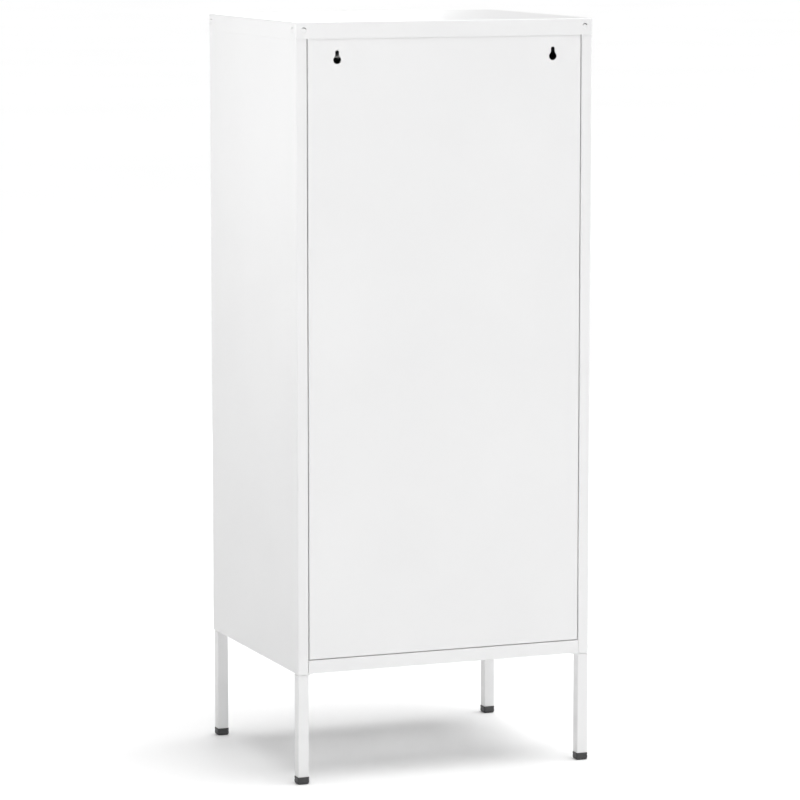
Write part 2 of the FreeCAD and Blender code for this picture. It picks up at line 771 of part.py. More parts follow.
def bumper(height):
    """A rubber dome on the stop lip that the closed door comes to rest against."""
    x = OPENING_X - STOP_LIP + BUMPER_RADIUS + SHEET / 2
    base = Vector(x, LIP_FRONT_Y, height)
    tip = Vector(x, DOOR_BACK + BUMPER_CLEARANCE, height)
    dome = rod(BUMPER_RADIUS, base, tip)
    crown = [edge for edge in dome.Edges if edge.CenterOfMass.distanceToPoint(tip) < FIT]
    return dome.makeFillet(BUMPER_DOME, crown)


def stop_bumpers(ranges):
    """Two bumpers for each door."""
    heights = []
    for low, high in ranges:
        heights += [low + BUMPER_END_INSET, high - BUMPER_END_INSET]
    return Part.makeCompound([bumper(height) for height in heights])


# ---------------------------------------------------------------- doors
def louvre_heights(low, high):
    """The levels of the louvres: a group near each end of a door."""
    heights = []
    for row in range(LOUVRE_ROWS):
        offset = LOUVRE_INSET + row * LOUVRE_PITCH
        heights += [low + offset, high - offset]
    return heights


def louvre_wedge(height, inset):
    """A wedge under a louvre's hood, its open side downward, inset by a wall's thickness."""
    half_length = LOUVRE_LENGTH / 2 - inset
    low = height - LOUVRE_HEIGHT / 2
    high = height + LOUVRE_HEIGHT / 2 - 2 * inset
    face = DOOR_FRONT if inset == 0 else DOOR_FRONT + SHEET
    corners = [
        Vector(-half_length, face, low - inset),
        Vector(-half_length, face, high),
        Vector(-half_length, DOOR_FRONT - LOUVRE_RISE + inset, low - inset),
    ]
    return Part.Face(Part.makePolygon(corners + corners[:1])).extrude(Vector(2 * half_length, 0, 0))


def louvred(skin, low, high):
    """The door with its louvre slots cut and their hoods pushed out."""
    heights = louvre_heights(low, high)
    skin = fused([skin] + [louvre_wedge(height, 0) for height in heights])
    return skin.cut(Part.makeCompound([louvre_wedge(height, SHEET) for height in heights]))


def door_shell(low, high, middle):
    """A pan: a front skin, four folded edges, and a narrow flange round the open back."""
    outside = box((-DOOR_X, DOOR_X), (DOOR_FRONT, DOOR_BACK), (low, high))
    rim_low = Vector(-DOOR_X - FIT, DOOR_FRONT - FIT, low - FIT)
    rim_high = Vector(DOOR_X + FIT, DOOR_FRONT + FIT, high + FIT)
    outside = outside.makeFillet(DOOR_EDGE, edges_between(outside, rim_low, rim_high))
    inside_x = DOOR_X - SHEET
    inside = box(
        (-inside_x, inside_x),
        (DOOR_FRONT + SHEET, DOOR_BACK - SHEET),
        (low + SHEET, high - SHEET),
    )
    window_x = DOOR_X - DOOR_FLANGE
    window = box(
        (-window_x, window_x),
        (DOOR_FRONT + DOOR_DEPTH / 2, DOOR_BACK + SHEET),
        (low + DOOR_FLANGE, high - DOOR_FLANGE),
    )
    shell = louvred(outside.cut(inside).cut(window), low, high)
    cuts = [cup_body(middle, 0)]
    for rivet_x in label_rivet_places():
        start = Vector(rivet_x, DOOR_FRONT - SHEET, high - LABEL_DROP)
        cuts.append(rod(RIVET_RADIUS, start, start + Vector(0, 3 * SHEET, 0)))
    for edge in (low, high):
        start = Vector(HINGE_X, HINGE_Y, edge - SHEET)
        cuts.append(rod(BUSH_RADIUS, start, start + Vector(0, 0, 2 * SHEET)))
    return shell.cut(Part.makeCompound(cuts))


def door_stiffener(low, high):
    """A hat section welded upright to the back of the skin."""
    back = DOOR_FRONT + SHEET
    crown = back + STIFFENER_DEPTH
    half_top = STIFFENER_TOP / 2
    half_crown = STIFFENER_CROWN / 2
    path = [
        (-half_top - STIFFENER_FOOT, back),
        (-half_top, back),
        (-half_crown, crown - SHEET),
        (half_crown, crown - SHEET),
        (half_top, back),
        (half_top + STIFFENER_FOOT, back),
    ]
    ends = (low + STIFFENER_END_GAP, high - STIFFENER_END_GAP)
    return folded_upright(path, [TIGHT_BEND] * 4, ends)


def label_rivet_places():
    """The x places of the two rivets of a label frame."""
    offset = LABEL_WIDTH / 2 + LABEL_EAR / 2
    return (-offset, offset)


def label_frame(high):
    """A shallow frame with an open top edge, which a card slides into from above."""
    z = high - LABEL_DROP
    half_width = LABEL_WIDTH / 2
    half_height = LABEL_HEIGHT / 2
    front = DOOR_FRONT - LABEL_RISE
    heights = (z - half_height, z + half_height)
    outside = box((-half_width, half_width), (front, DOOR_FRONT), heights)
    outside = outside.makeFillet(
        LABEL_SHEET,
        edges_between(
            outside,
            Vector(-half_width - FIT, front - FIT, z - half_height - FIT),
            Vector(half_width + FIT, front + FIT, z + half_height + FIT),
        ),
    )
    pocket = box(
        (-half_width + LABEL_SHEET, half_width - LABEL_SHEET),
        (front + LABEL_SHEET, DOOR_FRONT + FIT),
        (z - half_height + LABEL_SHEET, z + half_height + FIT),
    )
    window = box(
        (-half_width + LABEL_BORDER, half_width - LABEL_BORDER),
        (front - FIT, DOOR_FRONT),
        (z - half_height + LABEL_BORDER, z + half_height - LABEL_BORDER),
    )
    ears = []
    for side in (-1, 1):
        inner = side * (half_width - LABEL_SHEET)
        outer = side * (half_width + LABEL_EAR)
        ear_y = (DOOR_FRONT - LABEL_SHEET, DOOR_FRONT)
        ears.append(box((inner, outer), ear_y, (z - LABEL_EAR, z + LABEL_EAR)))
    frame = fused([outside.cut(pocket).cut(window)] + ears)
    holes = []
    for x in label_rivet_places():
        start = Vector(x, front, z)
        holes.append(rod(RIVET_RADIUS, start, start + Vector(0, 2 * LABEL_RISE, 0)))
    return frame.cut(Part.makeCompound(holes))


def label_card(high):
    """A blank card in the label frame."""
    z = high - LABEL_DROP
    half_width = LABEL_WIDTH / 2 - LABEL_SHEET - FIT
    half_height = LABEL_HEIGHT / 2 - LABEL_SHEET - FIT
    return box(
        (-half_width, half_width),
        (DOOR_FRONT - CARD_THICKNESS, DOOR_FRONT),
        (z - half_height, z + half_height),
    )


def label_rivets(high):
    """Two blind rivets through the ears of the label frame and the skin."""
    rivets = []
    for x in label_rivet_places():
        seat = Vector(x, DOOR_FRONT - LABEL_SHEET, high - LABEL_DROP)
        head = rod(RIVET_HEAD_RADIUS, seat, seat - Vector(0, RIVET_HEAD, 0))
        crown = [edge for edge in head.Edges if edge.BoundBox.YMax < seat.y - RIVET_HEAD / 2]
        head = head.makeFillet(RIVET_HEAD * 2 / 3, crown)
        shank = rod(RIVET_RADIUS, seat, seat + Vector(0, LABEL_SHEET + 3 * SHEET, 0))
        rivets.append(fused([head, shank]))
    return Part.makeCompound(rivets)


# ---------------------------------------------------------------- handle cup
def cup_body(z, inset):
    """The tapering body of the handle cup, inset all round by a wall's thickness."""
    width = CUP_WIDTH - 2 * inset
    height = CUP_HEIGHT - 2 * inset
    radius = CUP_RADIUS - inset
    start = DOOR_FRONT - (CUP_RIM_THICKNESS + FIT if inset else 0)
    floor = CUP_FLOOR_Y + (0 if inset else CUP_WALL)
    mouth = rounded_panel(CUP_X, z, width, height, radius, start)
    base = rounded_panel(CUP_X, z, width - 2 * CUP_DRAFT, height - 2 * CUP_DRAFT, radius, floor)
    return Part.makeLoft([mouth, base], True)


def grip_lip(z):
    """The lip that the fingers pull on: it covers part of the cup and curls into it."""
    edge_x = CUP_X + CUP_WIDTH / 2 - CUP_WALL
    top = z + CUP_HEIGHT / 2 - CUP_RADIUS - CUP_WALL
    front = DOOR_FRONT - CUP_RIM_THICKNESS
    heights = (top - GRIP_LIP_LENGTH, top)
    path = [
        (edge_x - GRIP_LIP, front + GRIP_LIP_CURL),
        (edge_x - GRIP_LIP, front),
        (edge_x + CUP_WALL, front),
    ]
    return folded_upright(path, [TIGHT_BEND], heights)


def handle_cup(z):
    """A pressed cup let into the door, with a rim on the skin and a lip to pull on."""
    rim = Part.Face(
        rounded_panel(
            CUP_X, z, CUP_WIDTH + 2 * CUP_RIM, CUP_HEIGHT + 2 * CUP_RIM, CUP_RADIUS + CUP_RIM,
            DOOR_FRONT - CUP_RIM_THICKNESS,
        )
    ).extrude(Vector(0, CUP_RIM_THICKNESS, 0))
    front_edges = [edge for edge in rim.Edges if edge.BoundBox.YMax < DOOR_FRONT - FIT]
    rim = rim.makeFillet(CUP_RIM_THICKNESS / 2, front_edges)
    cup = fused([rim, cup_body(z, 0)]).cut(cup_body(z, CUP_WALL))
    lock_z = z - LOCK_DROP
    return fused([cup, grip_lip(z)]).cut(
        lock_barrel(lock_z, LOCK_RADIUS, LOCK_FLAT, CUP_FLOOR_Y - SHEET, CUP_FLOOR_Y + 2 * CUP_WALL)
    )


# ---------------------------------------------------------------- locks
def lock_point(y, z):
    """A point on a lock's axis."""
    return Vector(CUP_X, y, z)


def lock_barrel(z, radius, flat, start, end):
    """A round bar along a lock's axis with a flat on each side."""
    bar = rod(radius, lock_point(start, z), lock_point(end, z))
    return bar.common(box((CUP_X - flat, CUP_X + flat), (start, end), (z - radius, z + radius)))


def lock_housing(z):
    """The fixed outside of the lock: a flange on the cup floor and a barrel behind it."""
    flange = rod(LOCK_FLANGE_RADIUS, lock_point(LOCK_FACE_Y, z), lock_point(CUP_FLOOR_Y, z))
    front_edges = [edge for edge in flange.Edges if edge.BoundBox.YMax < CUP_FLOOR_Y - FIT]
    flange = flange.makeFillet(LOCK_FLANGE / 3, front_edges)
    barrel = lock_barrel(z, LOCK_RADIUS, LOCK_FLAT, CUP_FLOOR_Y, LOCK_BACK_Y)
    bore = rod(
        PLUG_RADIUS + PLUG_CLEARANCE, lock_point(LOCK_FACE_Y - FIT, z), lock_point(LOCK_BACK_Y + FIT, z)
    )
    rim_seat = rod(
        PLUG_RIM_RADIUS + PLUG_CLEARANCE,
        lock_point(LOCK_FACE_Y - FIT, z),
        lock_point(LOCK_FACE_Y + PLUG_RIM + FIT, z),
    )
    return fused([flange, barrel]).cut(bore).cut(rim_seat)


def lock_nut(z):
    """The nut that clamps the housing in the cup."""
    start = CUP_FLOOR_Y + CUP_WALL
    nut = hexagon(LOCK_NUT_FLATS, lock_point(start, z), lock_point(start + LOCK_NUT, z))
    bore = rod(LOCK_RADIUS, lock_point(start - SHEET, z), lock_point(start + LOCK_NUT + SHEET, z))
    return nut.cut(bore)


def square_bar(width, start, end, z):
    """A square bar along a lock's axis."""
    half = width / 2
    return box((CUP_X - half, CUP_X + half), (start, end), (z - half, z + half))


def cam_screw_hole(z):
    """The threaded hole in the back of the plug."""
    start = CAM_Y + CAM_SHEET
    return rod(CAM_SCREW_RADIUS, lock_point(start - CAM_SCREW_REACH, z), lock_point(start + FIT, z))


def lock_plug(z):
    """The turning core of the lock, with the keyway in front and the cam's square behind."""
    face = LOCK_FACE_Y - PLUG_PROUD
    rim = rod(PLUG_RIM_RADIUS, lock_point(face, z), lock_point(LOCK_FACE_Y + PLUG_RIM, z))
    core = rod(PLUG_RADIUS, lock_point(LOCK_FACE_Y, z), lock_point(CAM_Y, z))
    square = square_bar(PLUG_SQUARE, CAM_Y - SHEET, CAM_Y + CAM_SHEET, z)
    keyway = box(
        (CUP_X - KEYWAY_WIDTH / 2, CUP_X + KEYWAY_WIDTH / 2),
        (face - FIT, face + KEYWAY_DEPTH),
        (z - KEYWAY_HEIGHT / 2, z + KEYWAY_HEIGHT / 2),
    )
    return fused([rim, core, square]).cut(keyway).cut(cam_screw_hole(z))


def lock_cam(z):
    """A cranked bar that points down when the lock is open.

    Its hub sits on the plug's square, and its tongue runs further forward, so that a
    quarter turn brings it just behind the stop lip.
    """
    path = [
        (CAM_Y, z + CAM_WIDTH / 2),
        (CAM_Y, z - CAM_CRANK_START),
        (TONGUE_Y, z - CAM_CRANK_END),
        (TONGUE_Y, z - CAM_LENGTH),
    ]
    points, radii = sheet_outline(path, [TIGHT_BEND, TIGHT_BEND], CAM_SHEET)
    corners = [Vector(CUP_X - CAM_WIDTH / 2, y, height) for y, height in points]
    bar = Part.Face(rounded_wire(corners, radii)).extrude(Vector(CAM_WIDTH, 0, 0))
    ends = edges_between(
        bar, Vector(CUP_X - CAM_WIDTH, -DEPTH, z + CAM_WIDTH / 2 - FIT),
        Vector(CUP_X + CAM_WIDTH, DEPTH, z + CAM_WIDTH),
    )
    ends += edges_between(
        bar, Vector(CUP_X - CAM_WIDTH, -DEPTH, z - CAM_LENGTH - CAM_WIDTH),
        Vector(CUP_X + CAM_WIDTH, DEPTH, z - CAM_LENGTH + FIT),
    )
    corner_edges = [edge for edge in ends if edge.BoundBox.YLength > CAM_SHEET / 2]
    bar = bar.makeFillet(CAM_WIDTH / 3, corner_edges)
    return bar.cut(square_bar(PLUG_SQUARE, CAM_Y - SHEET, CAM_Y + CAM_SHEET + SHEET, z))


def cam_screw(z):
    """The screw that holds the cam on the plug."""
    seat = CAM_Y + CAM_SHEET
    head = rod(CAM_SCREW_HEAD_RADIUS, lock_point(seat, z), lock_point(seat + CAM_SCREW_HEAD, z))
    crown = [edge for edge in head.Edges if edge.BoundBox.YMin > seat + FIT]
    head = head.makeFillet(CAM_SCREW_HEAD / 2, crown)
    shank = rod(CAM_SCREW_RADIUS, lock_point(seat - CAM_SCREW_REACH, z), lock_point(seat, z))
    return fused([head, shank])


def lock_key(z):
    """A flat key in the keyway, with a round bow short enough to stay inside the cup."""
    face = LOCK_FACE_Y - PLUG_PROUD
    half = KEY_SHEET / 2
    bow_y = face - KEY_BOW_GAP - KEY_BOW_RADIUS
    blade = box(
        (CUP_X - half, CUP_X + half),
        (bow_y, face + KEYWAY_DEPTH - SHEET),
        (z - KEY_BLADE_HEIGHT / 2, z + KEY_BLADE_HEIGHT / 2),
    )
    bow = rod(KEY_BOW_RADIUS, Vector(CUP_X - half, bow_y, z), Vector(CUP_X + half, bow_y, z))
    ring_y = bow_y - KEY_BOW_RADIUS / 2
    ring_hole = rod(
        KEY_RING_RADIUS, Vector(CUP_X - KEY_SHEET, ring_y, z), Vector(CUP_X + KEY_SHEET, ring_y, z)
    )
    return fused([blade, bow]).cut(ring_hole)


# ---------------------------------------------------------------- the whole cabinet
def carcass_parts():
    """Every piece of the standing cabinet except its door fittings."""
    right_side = side_panel()
    divider_top = RAIL_TOP - SHEET
    divider_front = LIP_BACK_Y + SHEET
    upper_shelf_top = (RAIL_TOP + CAP_BOTTOM) / 2
    lower_shelf_top = (SILL_TOP + RAIL_BOTTOM) / 2
    parts = {
        "top_cap": top_cap(),
        "right_side_panel": right_side,
        "left_side_panel": mirrored_x(right_side),
        "back_panel": back_panel(),
        "bottom_tray": bottom_tray(),
        "middle_rail": middle_rail(),
        "middle_divider": shelf(divider_top, divider_front),
        "divider_ledges": ledges(divider_top, divider_front),
        "upper_shelf": shelf(upper_shelf_top, SHELF_FRONT),
        "upper_shelf_ledges": ledges(upper_shelf_top, SHELF_FRONT),
        "lower_shelf": shelf(lower_shelf_top, SHELF_FRONT),
        "lower_shelf_ledges": ledges(lower_shelf_top, SHELF_FRONT),
        "leg_bolts": leg_bolts(),
        "leg_nuts": leg_nuts(),
        "floor_screws": floor_screws(),
        "floor_nuts": floor_nuts(),
        "cap_studs": cap_studs(),
        "cap_nuts": cap_nuts(),
        "back_panel_screws": back_panel_screws(),
        "back_panel_nuts": back_panel_nuts(),
    }
    for end_name, end in (("front", -1), ("rear", 1)):
        for side_name, side in (("left", -1), ("right", 1)):
            parts[f"{end_name}_{side_name}_leg"] = leg(side, end)
            parts[f"{end_name}_{side_name}_foot"] = foot_cap(side, end)
    return parts


def door_parts(tier, opening_low, opening_high):
    """Every piece of one door, its hinges and its lock."""
    low = opening_low + DOOR_GAP
    high = opening_high - DOOR_GAP
    middle = (low + high) / 2
    lock_z = middle - LOCK_DROP
    return {
        f"{tier}_hinge_pins": hinge_pins(opening_low, opening_high),
        f"{tier}_hinge_bushes": hinge_bushes(low, high),
        f"{tier}_door_shell": door_shell(low, high, middle),
        f"{tier}_door_stiffener": door_stiffener(low, high),
        f"{tier}_label_frame": label_frame(high),
        f"{tier}_label_card": label_card(high),
        f"{tier}_label_rivets": label_rivets(high),
        f"{tier}_handle_cup": handle_cup(middle),
        f"{tier}_lock_housing": lock_housing(lock_z),
        f"{tier}_lock_nut": lock_nut(lock_z),
        f"{tier}_lock_plug": lock_plug(lock_z),
        f"{tier}_lock_cam": lock_cam(lock_z),
        f"{tier}_cam_screw": cam_screw(lock_z),
        f"{tier}_key": lock_key(lock_z),
    }


def main():
    """Write one STEP file for each piece."""
    openings = {"lower": (SILL_TOP, RAIL_BOTTOM), "upper": (RAIL_TOP, CAP_BOTTOM)}
    parts = carcass_parts()
    parts["stop_bumpers"] = stop_bumpers(openings.values())
    for tier, (low, high) in openings.items():
        parts.update(door_parts(tier, low, high))
    os.makedirs("parts", exist_ok=True)
    for name, shape in parts.items():
        shape.exportStep(f"parts/{name}.step")


main()
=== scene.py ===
import json
import math
from collections import namedtuple

import bmesh
import bpy
from mathutils import Matrix, Vector


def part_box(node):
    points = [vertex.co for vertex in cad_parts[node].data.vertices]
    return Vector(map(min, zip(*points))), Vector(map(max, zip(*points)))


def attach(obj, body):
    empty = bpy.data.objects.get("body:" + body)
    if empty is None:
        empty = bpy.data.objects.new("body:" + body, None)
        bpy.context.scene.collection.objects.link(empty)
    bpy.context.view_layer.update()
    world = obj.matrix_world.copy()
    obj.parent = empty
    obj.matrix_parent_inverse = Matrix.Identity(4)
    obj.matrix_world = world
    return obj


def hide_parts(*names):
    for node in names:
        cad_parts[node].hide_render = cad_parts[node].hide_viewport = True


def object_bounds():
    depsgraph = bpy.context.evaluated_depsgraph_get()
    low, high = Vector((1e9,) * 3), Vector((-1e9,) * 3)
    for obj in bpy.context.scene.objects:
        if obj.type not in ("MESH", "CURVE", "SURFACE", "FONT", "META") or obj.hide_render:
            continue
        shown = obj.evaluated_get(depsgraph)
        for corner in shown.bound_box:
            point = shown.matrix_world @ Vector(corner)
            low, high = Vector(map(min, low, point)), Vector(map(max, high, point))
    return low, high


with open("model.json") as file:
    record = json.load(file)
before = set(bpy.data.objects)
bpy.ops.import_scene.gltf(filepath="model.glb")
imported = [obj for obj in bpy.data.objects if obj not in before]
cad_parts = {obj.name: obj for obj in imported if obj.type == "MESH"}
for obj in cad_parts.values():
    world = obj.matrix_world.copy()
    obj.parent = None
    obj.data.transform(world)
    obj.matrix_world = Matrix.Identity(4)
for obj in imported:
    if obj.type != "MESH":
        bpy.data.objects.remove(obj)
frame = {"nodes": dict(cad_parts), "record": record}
cad_low, cad_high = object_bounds()

slots = {part["node"]: part["material_slot"] for part in frame["record"]["subparts"]}
bodies = {
    node: body for body, nodes in frame["record"]["behaviour"]["bodies"].items() for node in nodes
}

# The looks of a two-tier steel locker cabinet. Metres, +Z up, doors towards -Y, hinges on
# the -X side, floor at z = 0. Lengths named below are in millimetres unless they are the
# camera's or the studio's.

CAMERA_AZIMUTH = math.radians(158.455)
CAMERA_ELEVATION = math.radians(7.595)
CAMERA_DISTANCE = 5.4676
CAMERA_LENS = 178.5
CAMERA_SIDEWAYS = 0.0029
CAMERA_RAISE = -0.0204

SENSOR_WIDTH = 36.0

FLOOR_RADIUS = 60.0
SURROUND = 0.1
HORIZON_LOW = 0.09
HORIZON_HIGH = 0.22
SKY_FROM = Vector((-0.2, 0.08, 0.97))
SKY_STRENGTH = 3.05
SKY_SPREAD = math.radians(60.0)
# name, place, what it is aimed at, size, power
SOFTBOXES = (
    ("side_light", Vector((0.83, 0.1, 1.0)), Vector((0.2, 0.05, 0.69)), 0.5, 1.75),
    ("back_light", Vector((-0.4, 3.4, 1.9)), Vector((0.0, 0.2, 0.55)), 1.6, 18.4),
    ("front_light", Vector((-0.6, -3.0, 1.3)), Vector((0.0, -0.2, 0.55)), 1.2, 18.0),
)

MM = 0.001
X_AXIS = Vector((1, 0, 0))
Y_AXIS = Vector((0, 1, 0))
Z_AXIS = Vector((0, 0, 1))
TIERS = ("upper", "lower")
Triple = namedtuple("Triple", "x y z")

SHEET = 0.8
TIGHT_BEND = 0.6
CORNER_STEPS = 6
SHARP_ANGLE = 35.0
SOFT_ANGLE = 40.0
FLAT_LIMIT = 0.9999
CUT_MARGIN = 1.0
SAME_PLACE = 1e-4

BODY_BEND = 2.0
GROOVE_DEPTH = 0.6
GROOVE_HEIGHT = 1.4
GROOVE_REACH = 4.0
DIMPLE_DROP = 11.0
DIMPLE_INSET = 12.0
SLIT_RADIUS = 2.8
SLIT_WIDTH = 1.2

DOOR_FOLD = 1.5
DOOR_CORNER = 2.0
DOOR_FLANGE = 12.0
DOOR_GAP = 1.5
LOUVRE_LENGTH = 110.0
LOUVRE_HEIGHT = 9.0
LOUVRE_RISE = 2.6
LOUVRE_PITCH = 14.0
LOUVRE_ROWS = 3
LOUVRE_INSET = 36.0
LOUVRE_END = 7.0
LOUVRE_STEPS = 10
LOUVRE_MARGIN = 1.0
LOUVRE_DROOP = 1.2
LOUVRE_STRAIGHT = 0.35
STIFFENER_TOP = 46.0
STIFFENER_CROWN = 26.0
STIFFENER_TAPER = 16.0
STIFFENER_START = 0.12
STIFFENER_STEPS = 40
HAT_STEPS = 24

LABEL_SHEET = 0.7
LABEL_BORDER = 5.0
LABEL_EAR = 9.0
LABEL_CORNER = 2.5
LABEL_ROLL = 1.2
LABEL_INNER_ROLL = 1.4
LABEL_EASE = 0.3
LABEL_EAR_CORNER = 2.4
LABEL_SOFTNESS = 0.12
CARD_STEPS = 24
CARD_TRIM = 0.5
CARD_BOW = 0.35
CARD_BACK = 0.95
RIVET_RADIUS = 1.6
RIVET_HEAD_RADIUS = 3.0
RIVET_HEAD = 0.9

CUP_RIM = 4.0
CUP_RIM_EDGE = 0.6
CUP_WALL = 1.0
CUP_ROLL = 1.4
CUP_FILLET = 3.5
CUP_DRAFT = 1.6
CUP_LEAN = 0.3
CUP_SLACK = 0.2
CUP_STEPS = 8
CUP_RADIUS = 9.0
CUP_RADIUS_SHARE = 0.9
GRIP_LIP = 9.0
GRIP_LIP_LENGTH = 46.0
LIP_START = 0.5
LIP_CURL = 1.8
LIP_DROP = 1.6
LIP_ROOT = 1.4
LIP_STEPS = 32

LOCK_FLANGE = 2.2
LOCK_RADIUS = 9.0
LOCK_FLAT = 7.9
LOCK_ROLL = 1.4
LOCK_BEVEL = 0.7
LOCK_THREAD = 1.0
LOCK_THREAD_DEPTH = 0.45
LOCK_THREAD_STEPS = 90
PLUG_RADIUS = 6.0
PLUG_RIM_RADIUS = 7.0
PLUG_RIM = 1.2
PLUG_CLEARANCE = 0.06
PLUG_SQUARE = 7.0
PLUG_SQUARE_CORNER = 0.8
KEYWAY_HEIGHT = 8.0
KEYWAY_WIDTH = 2.2
KEYWAY_DEPTH = 13.0
KEYWAY_CORNER = 0.2
KEY_BLADE_HEIGHT = 7.6
KEY_RING_RADIUS = 2.2
KEY_BITS = (0.0, 1.4, 0.6, 2.0, 1.0, 1.7, 0.4)
CAM_SHEET = 2.0
CAM_CRANK_START = 12.0
CAM_CRANK_END = 20.0
CAM_TOP = 0.5
CAM_TIP = 0.8
CAM_NARROW = 0.45
CAM_STEPS = 10
CRANK_STEPS = 8
PRESSED_EDGE = 0.25
NUT_EASE = 0.35
NUT_FACE = 0.96
CAM_SCREW_HEAD = 2.8
CAM_SCREW_RADIUS = 2.5
RECESS_FLOOR = 0.45

LEG_BOLT_RADIUS = 3.0
LEG_BOLT_HEAD_RADIUS = 5.75
LEG_BOLT_HEAD = 4.5
LEG_BOLT_PITCH = 1.0
LEG_BOLT_INSET = 38.5
LEG_NUT_FLATS = 10.0
SCREW_RADIUS = 2.0
SCREW_HEAD_RADIUS = 4.0
SCREW_HEAD = 2.4
SCREW_PITCH = 0.7
SCREW_NUT_FLATS = 7.0
SCREW_NUT = 3.2
STUD_RADIUS = 2.5
STUD_NUT_FLATS = 8.0
STUD_STEPS = 60
STUD_THREAD_DEPTH = 0.25
PIN_RADIUS = 2.0
PIN_HEAD = 1.6
PIN_REACH = 8.0
PIN_CLEARANCE = 0.08
BUSH_RADIUS = 3.1
BUSH_FLANGE = 1.2
BUSH_LENGTH = 6.0
BUSH_CUT = 5.0
BUMPER_INSET = 60.0

FOOT_WALL = 1.0
FOOT_FLOOR = 3.0
FOOT_SOLE = 2.8
FOOT_CORNER = 3.6
LEG_TUBE = 15.0
LEG_WALL = 1.0
LEG_EDGE = 1.0
LEG_STEPS = 4
LEG_PLATE = 2.0
PLATE_REACH = 50.0
PLATE_SHOULDER = 30.0
PLATE_SETBACK = 0.8
PLATE_CORNER = 1.2
PLATE_EDGE = 0.3
WELD_SIZE = 1.8
WELD_RIPPLES = 7
WELD_CREST = 0.14
WELD_HOLLOW = 0.75
WELD_ROOT = 0.2


# ---- materials
class Paint:
    """A material while it is wired up."""

    def __init__(self, name):
        self.material = bpy.data.materials.new(name)
        self.material.use_nodes = True
        self.nodes = self.material.node_tree.nodes
        self.links = self.material.node_tree.links
        self.shader = self.nodes["Principled BSDF"]

    def set(self, socket, value):
        """Give a shader socket a constant, or link a node's output to it."""
        if isinstance(value, bpy.types.NodeSocket):
            self.links.new(value, self.shader.inputs[socket])
        else:
            self.shader.inputs[socket].default_value = value

    def noise(self, scale, detail=2.0, stretch=(1.0, 1.0, 1.0), roughness=0.5):
        """Noise fixed to the piece, at a scale in cells per metre."""
        place = self.nodes.new("ShaderNodeTexCoord")
        mapping = self.nodes.new("ShaderNodeMapping")
        mapping.inputs["Scale"].default_value = stretch
        texture = self.nodes.new("ShaderNodeTexNoise")
        texture.inputs["Scale"].default_value = scale
        texture.inputs["Detail"].default_value = detail
        texture.inputs["Roughness"].default_value = roughness
        self.links.new(place.outputs["Object"], mapping.inputs["Vector"])
        self.links.new(mapping.outputs["Vector"], texture.inputs["Vector"])
        return texture.outputs["Fac"]

    def ranged(self, value, low, high):
        """A value from 0.3 to 0.7 mapped to a range, as noise mostly lies there."""
        return mapped(self.nodes, self.links, value, (0.3, 0.7), (low, high)).outputs["Result"]

    def blended(self, value, low_color, high_color):
        """A colour between two, chosen by a value from 0.3 to 0.7."""
        ramp = self.nodes.new("ShaderNodeValToRGB")
        stops = ramp.color_ramp.elements
        for stop, position, color in ((stops[0], 0.3, low_color), (stops[1], 0.7, high_color)):
            stop.position = position
            stop.color = (*color, 1)
        self.links.new(value, ramp.inputs["Fac"])
        return ramp.outputs["Color"]

    def bump(self, *heights):
        """Chained bumps; each height is (value, strength, distance in metres)."""
        normal = None
        for value, strength, distance in heights:
            bump = self.nodes.new("ShaderNodeBump")
            bump.inputs["Strength"].default_value = strength
            bump.inputs["Distance"].default_value = distance
            self.links.new(value, bump.inputs["Height"])
            if normal is not None:
                self.links.new(normal, bump.inputs["Normal"])
            normal = bump.outputs["Normal"]
        self.set("Normal", normal)


def mapped(nodes, links, value, source, target):
    """A node that maps a value from one range to another."""
    node = nodes.new("ShaderNodeMapRange")
    names = ("From Min", "From Max", "To Min", "To Max")
    for name, limit in zip(names, (*source, *target)):
        node.inputs[name].default_value = limit
    links.new(value, node.inputs["Value"])
    return node


def powder_coat():
    """Semi-gloss white powder coat with a fine orange peel."""
    paint = Paint("white_powder_coat")
    cloud = paint.noise(5.0, 3.0)
    peel = paint.noise(620.0)
    ripple = paint.noise(160.0)
    paint.set("Base Color", paint.blended(cloud, (0.840, 0.840, 0.842), (0.862, 0.862, 0.863)))
    paint.set("Roughness", paint.ranged(ripple, 0.30, 0.38))
    paint.set("Specular IOR Level", 0.3)
    paint.bump((ripple, 0.06, 0.0004), (peel, 0.08, 0.0001))
    return paint.material


def plated(name, dark, bright, rough, stretch, scale, depth):
    """A plated or brushed metal whose streaks follow the stretch."""
    paint = Paint(name)
    paint.set("Metallic", 1.0)
    streak = paint.noise(scale, 4.0, stretch, 0.6)
    cloud = paint.noise(90.0, 3.0)
    paint.set("Base Color", paint.blended(cloud, dark, bright))
    paint.set("Roughness", paint.ranged(streak, *rough))
    paint.bump((streak, 0.2, depth))
    return paint.material


def moulded(name, dark, bright, roughness, grain, strength):
    """A moulded plastic or rubber with a fine grain."""
    paint = Paint(name)
    cloud = paint.noise(120.0, 3.0)
    pits = paint.noise(grain)
    paint.set("Base Color", paint.blended(cloud, dark, bright))
    paint.set("Roughness", paint.ranged(pits, roughness - 0.06, roughness + 0.06))
    paint.bump((pits, strength, 0.0001))
    return paint.material


def card_stock():
    """Uncoated card with paper fibres."""
    paint = Paint("card")
    fibre = paint.noise(900.0, 4.0, (1.0, 1.0, 0.35), 0.7)
    cloud = paint.noise(60.0, 3.0)
    paint.set("Base Color", paint.blended(cloud, (0.865, 0.86, 0.835), (0.885, 0.88, 0.86)))
    paint.set("Roughness", 0.9)
    paint.bump((fibre, 0.25, 0.0001))
    return paint.material


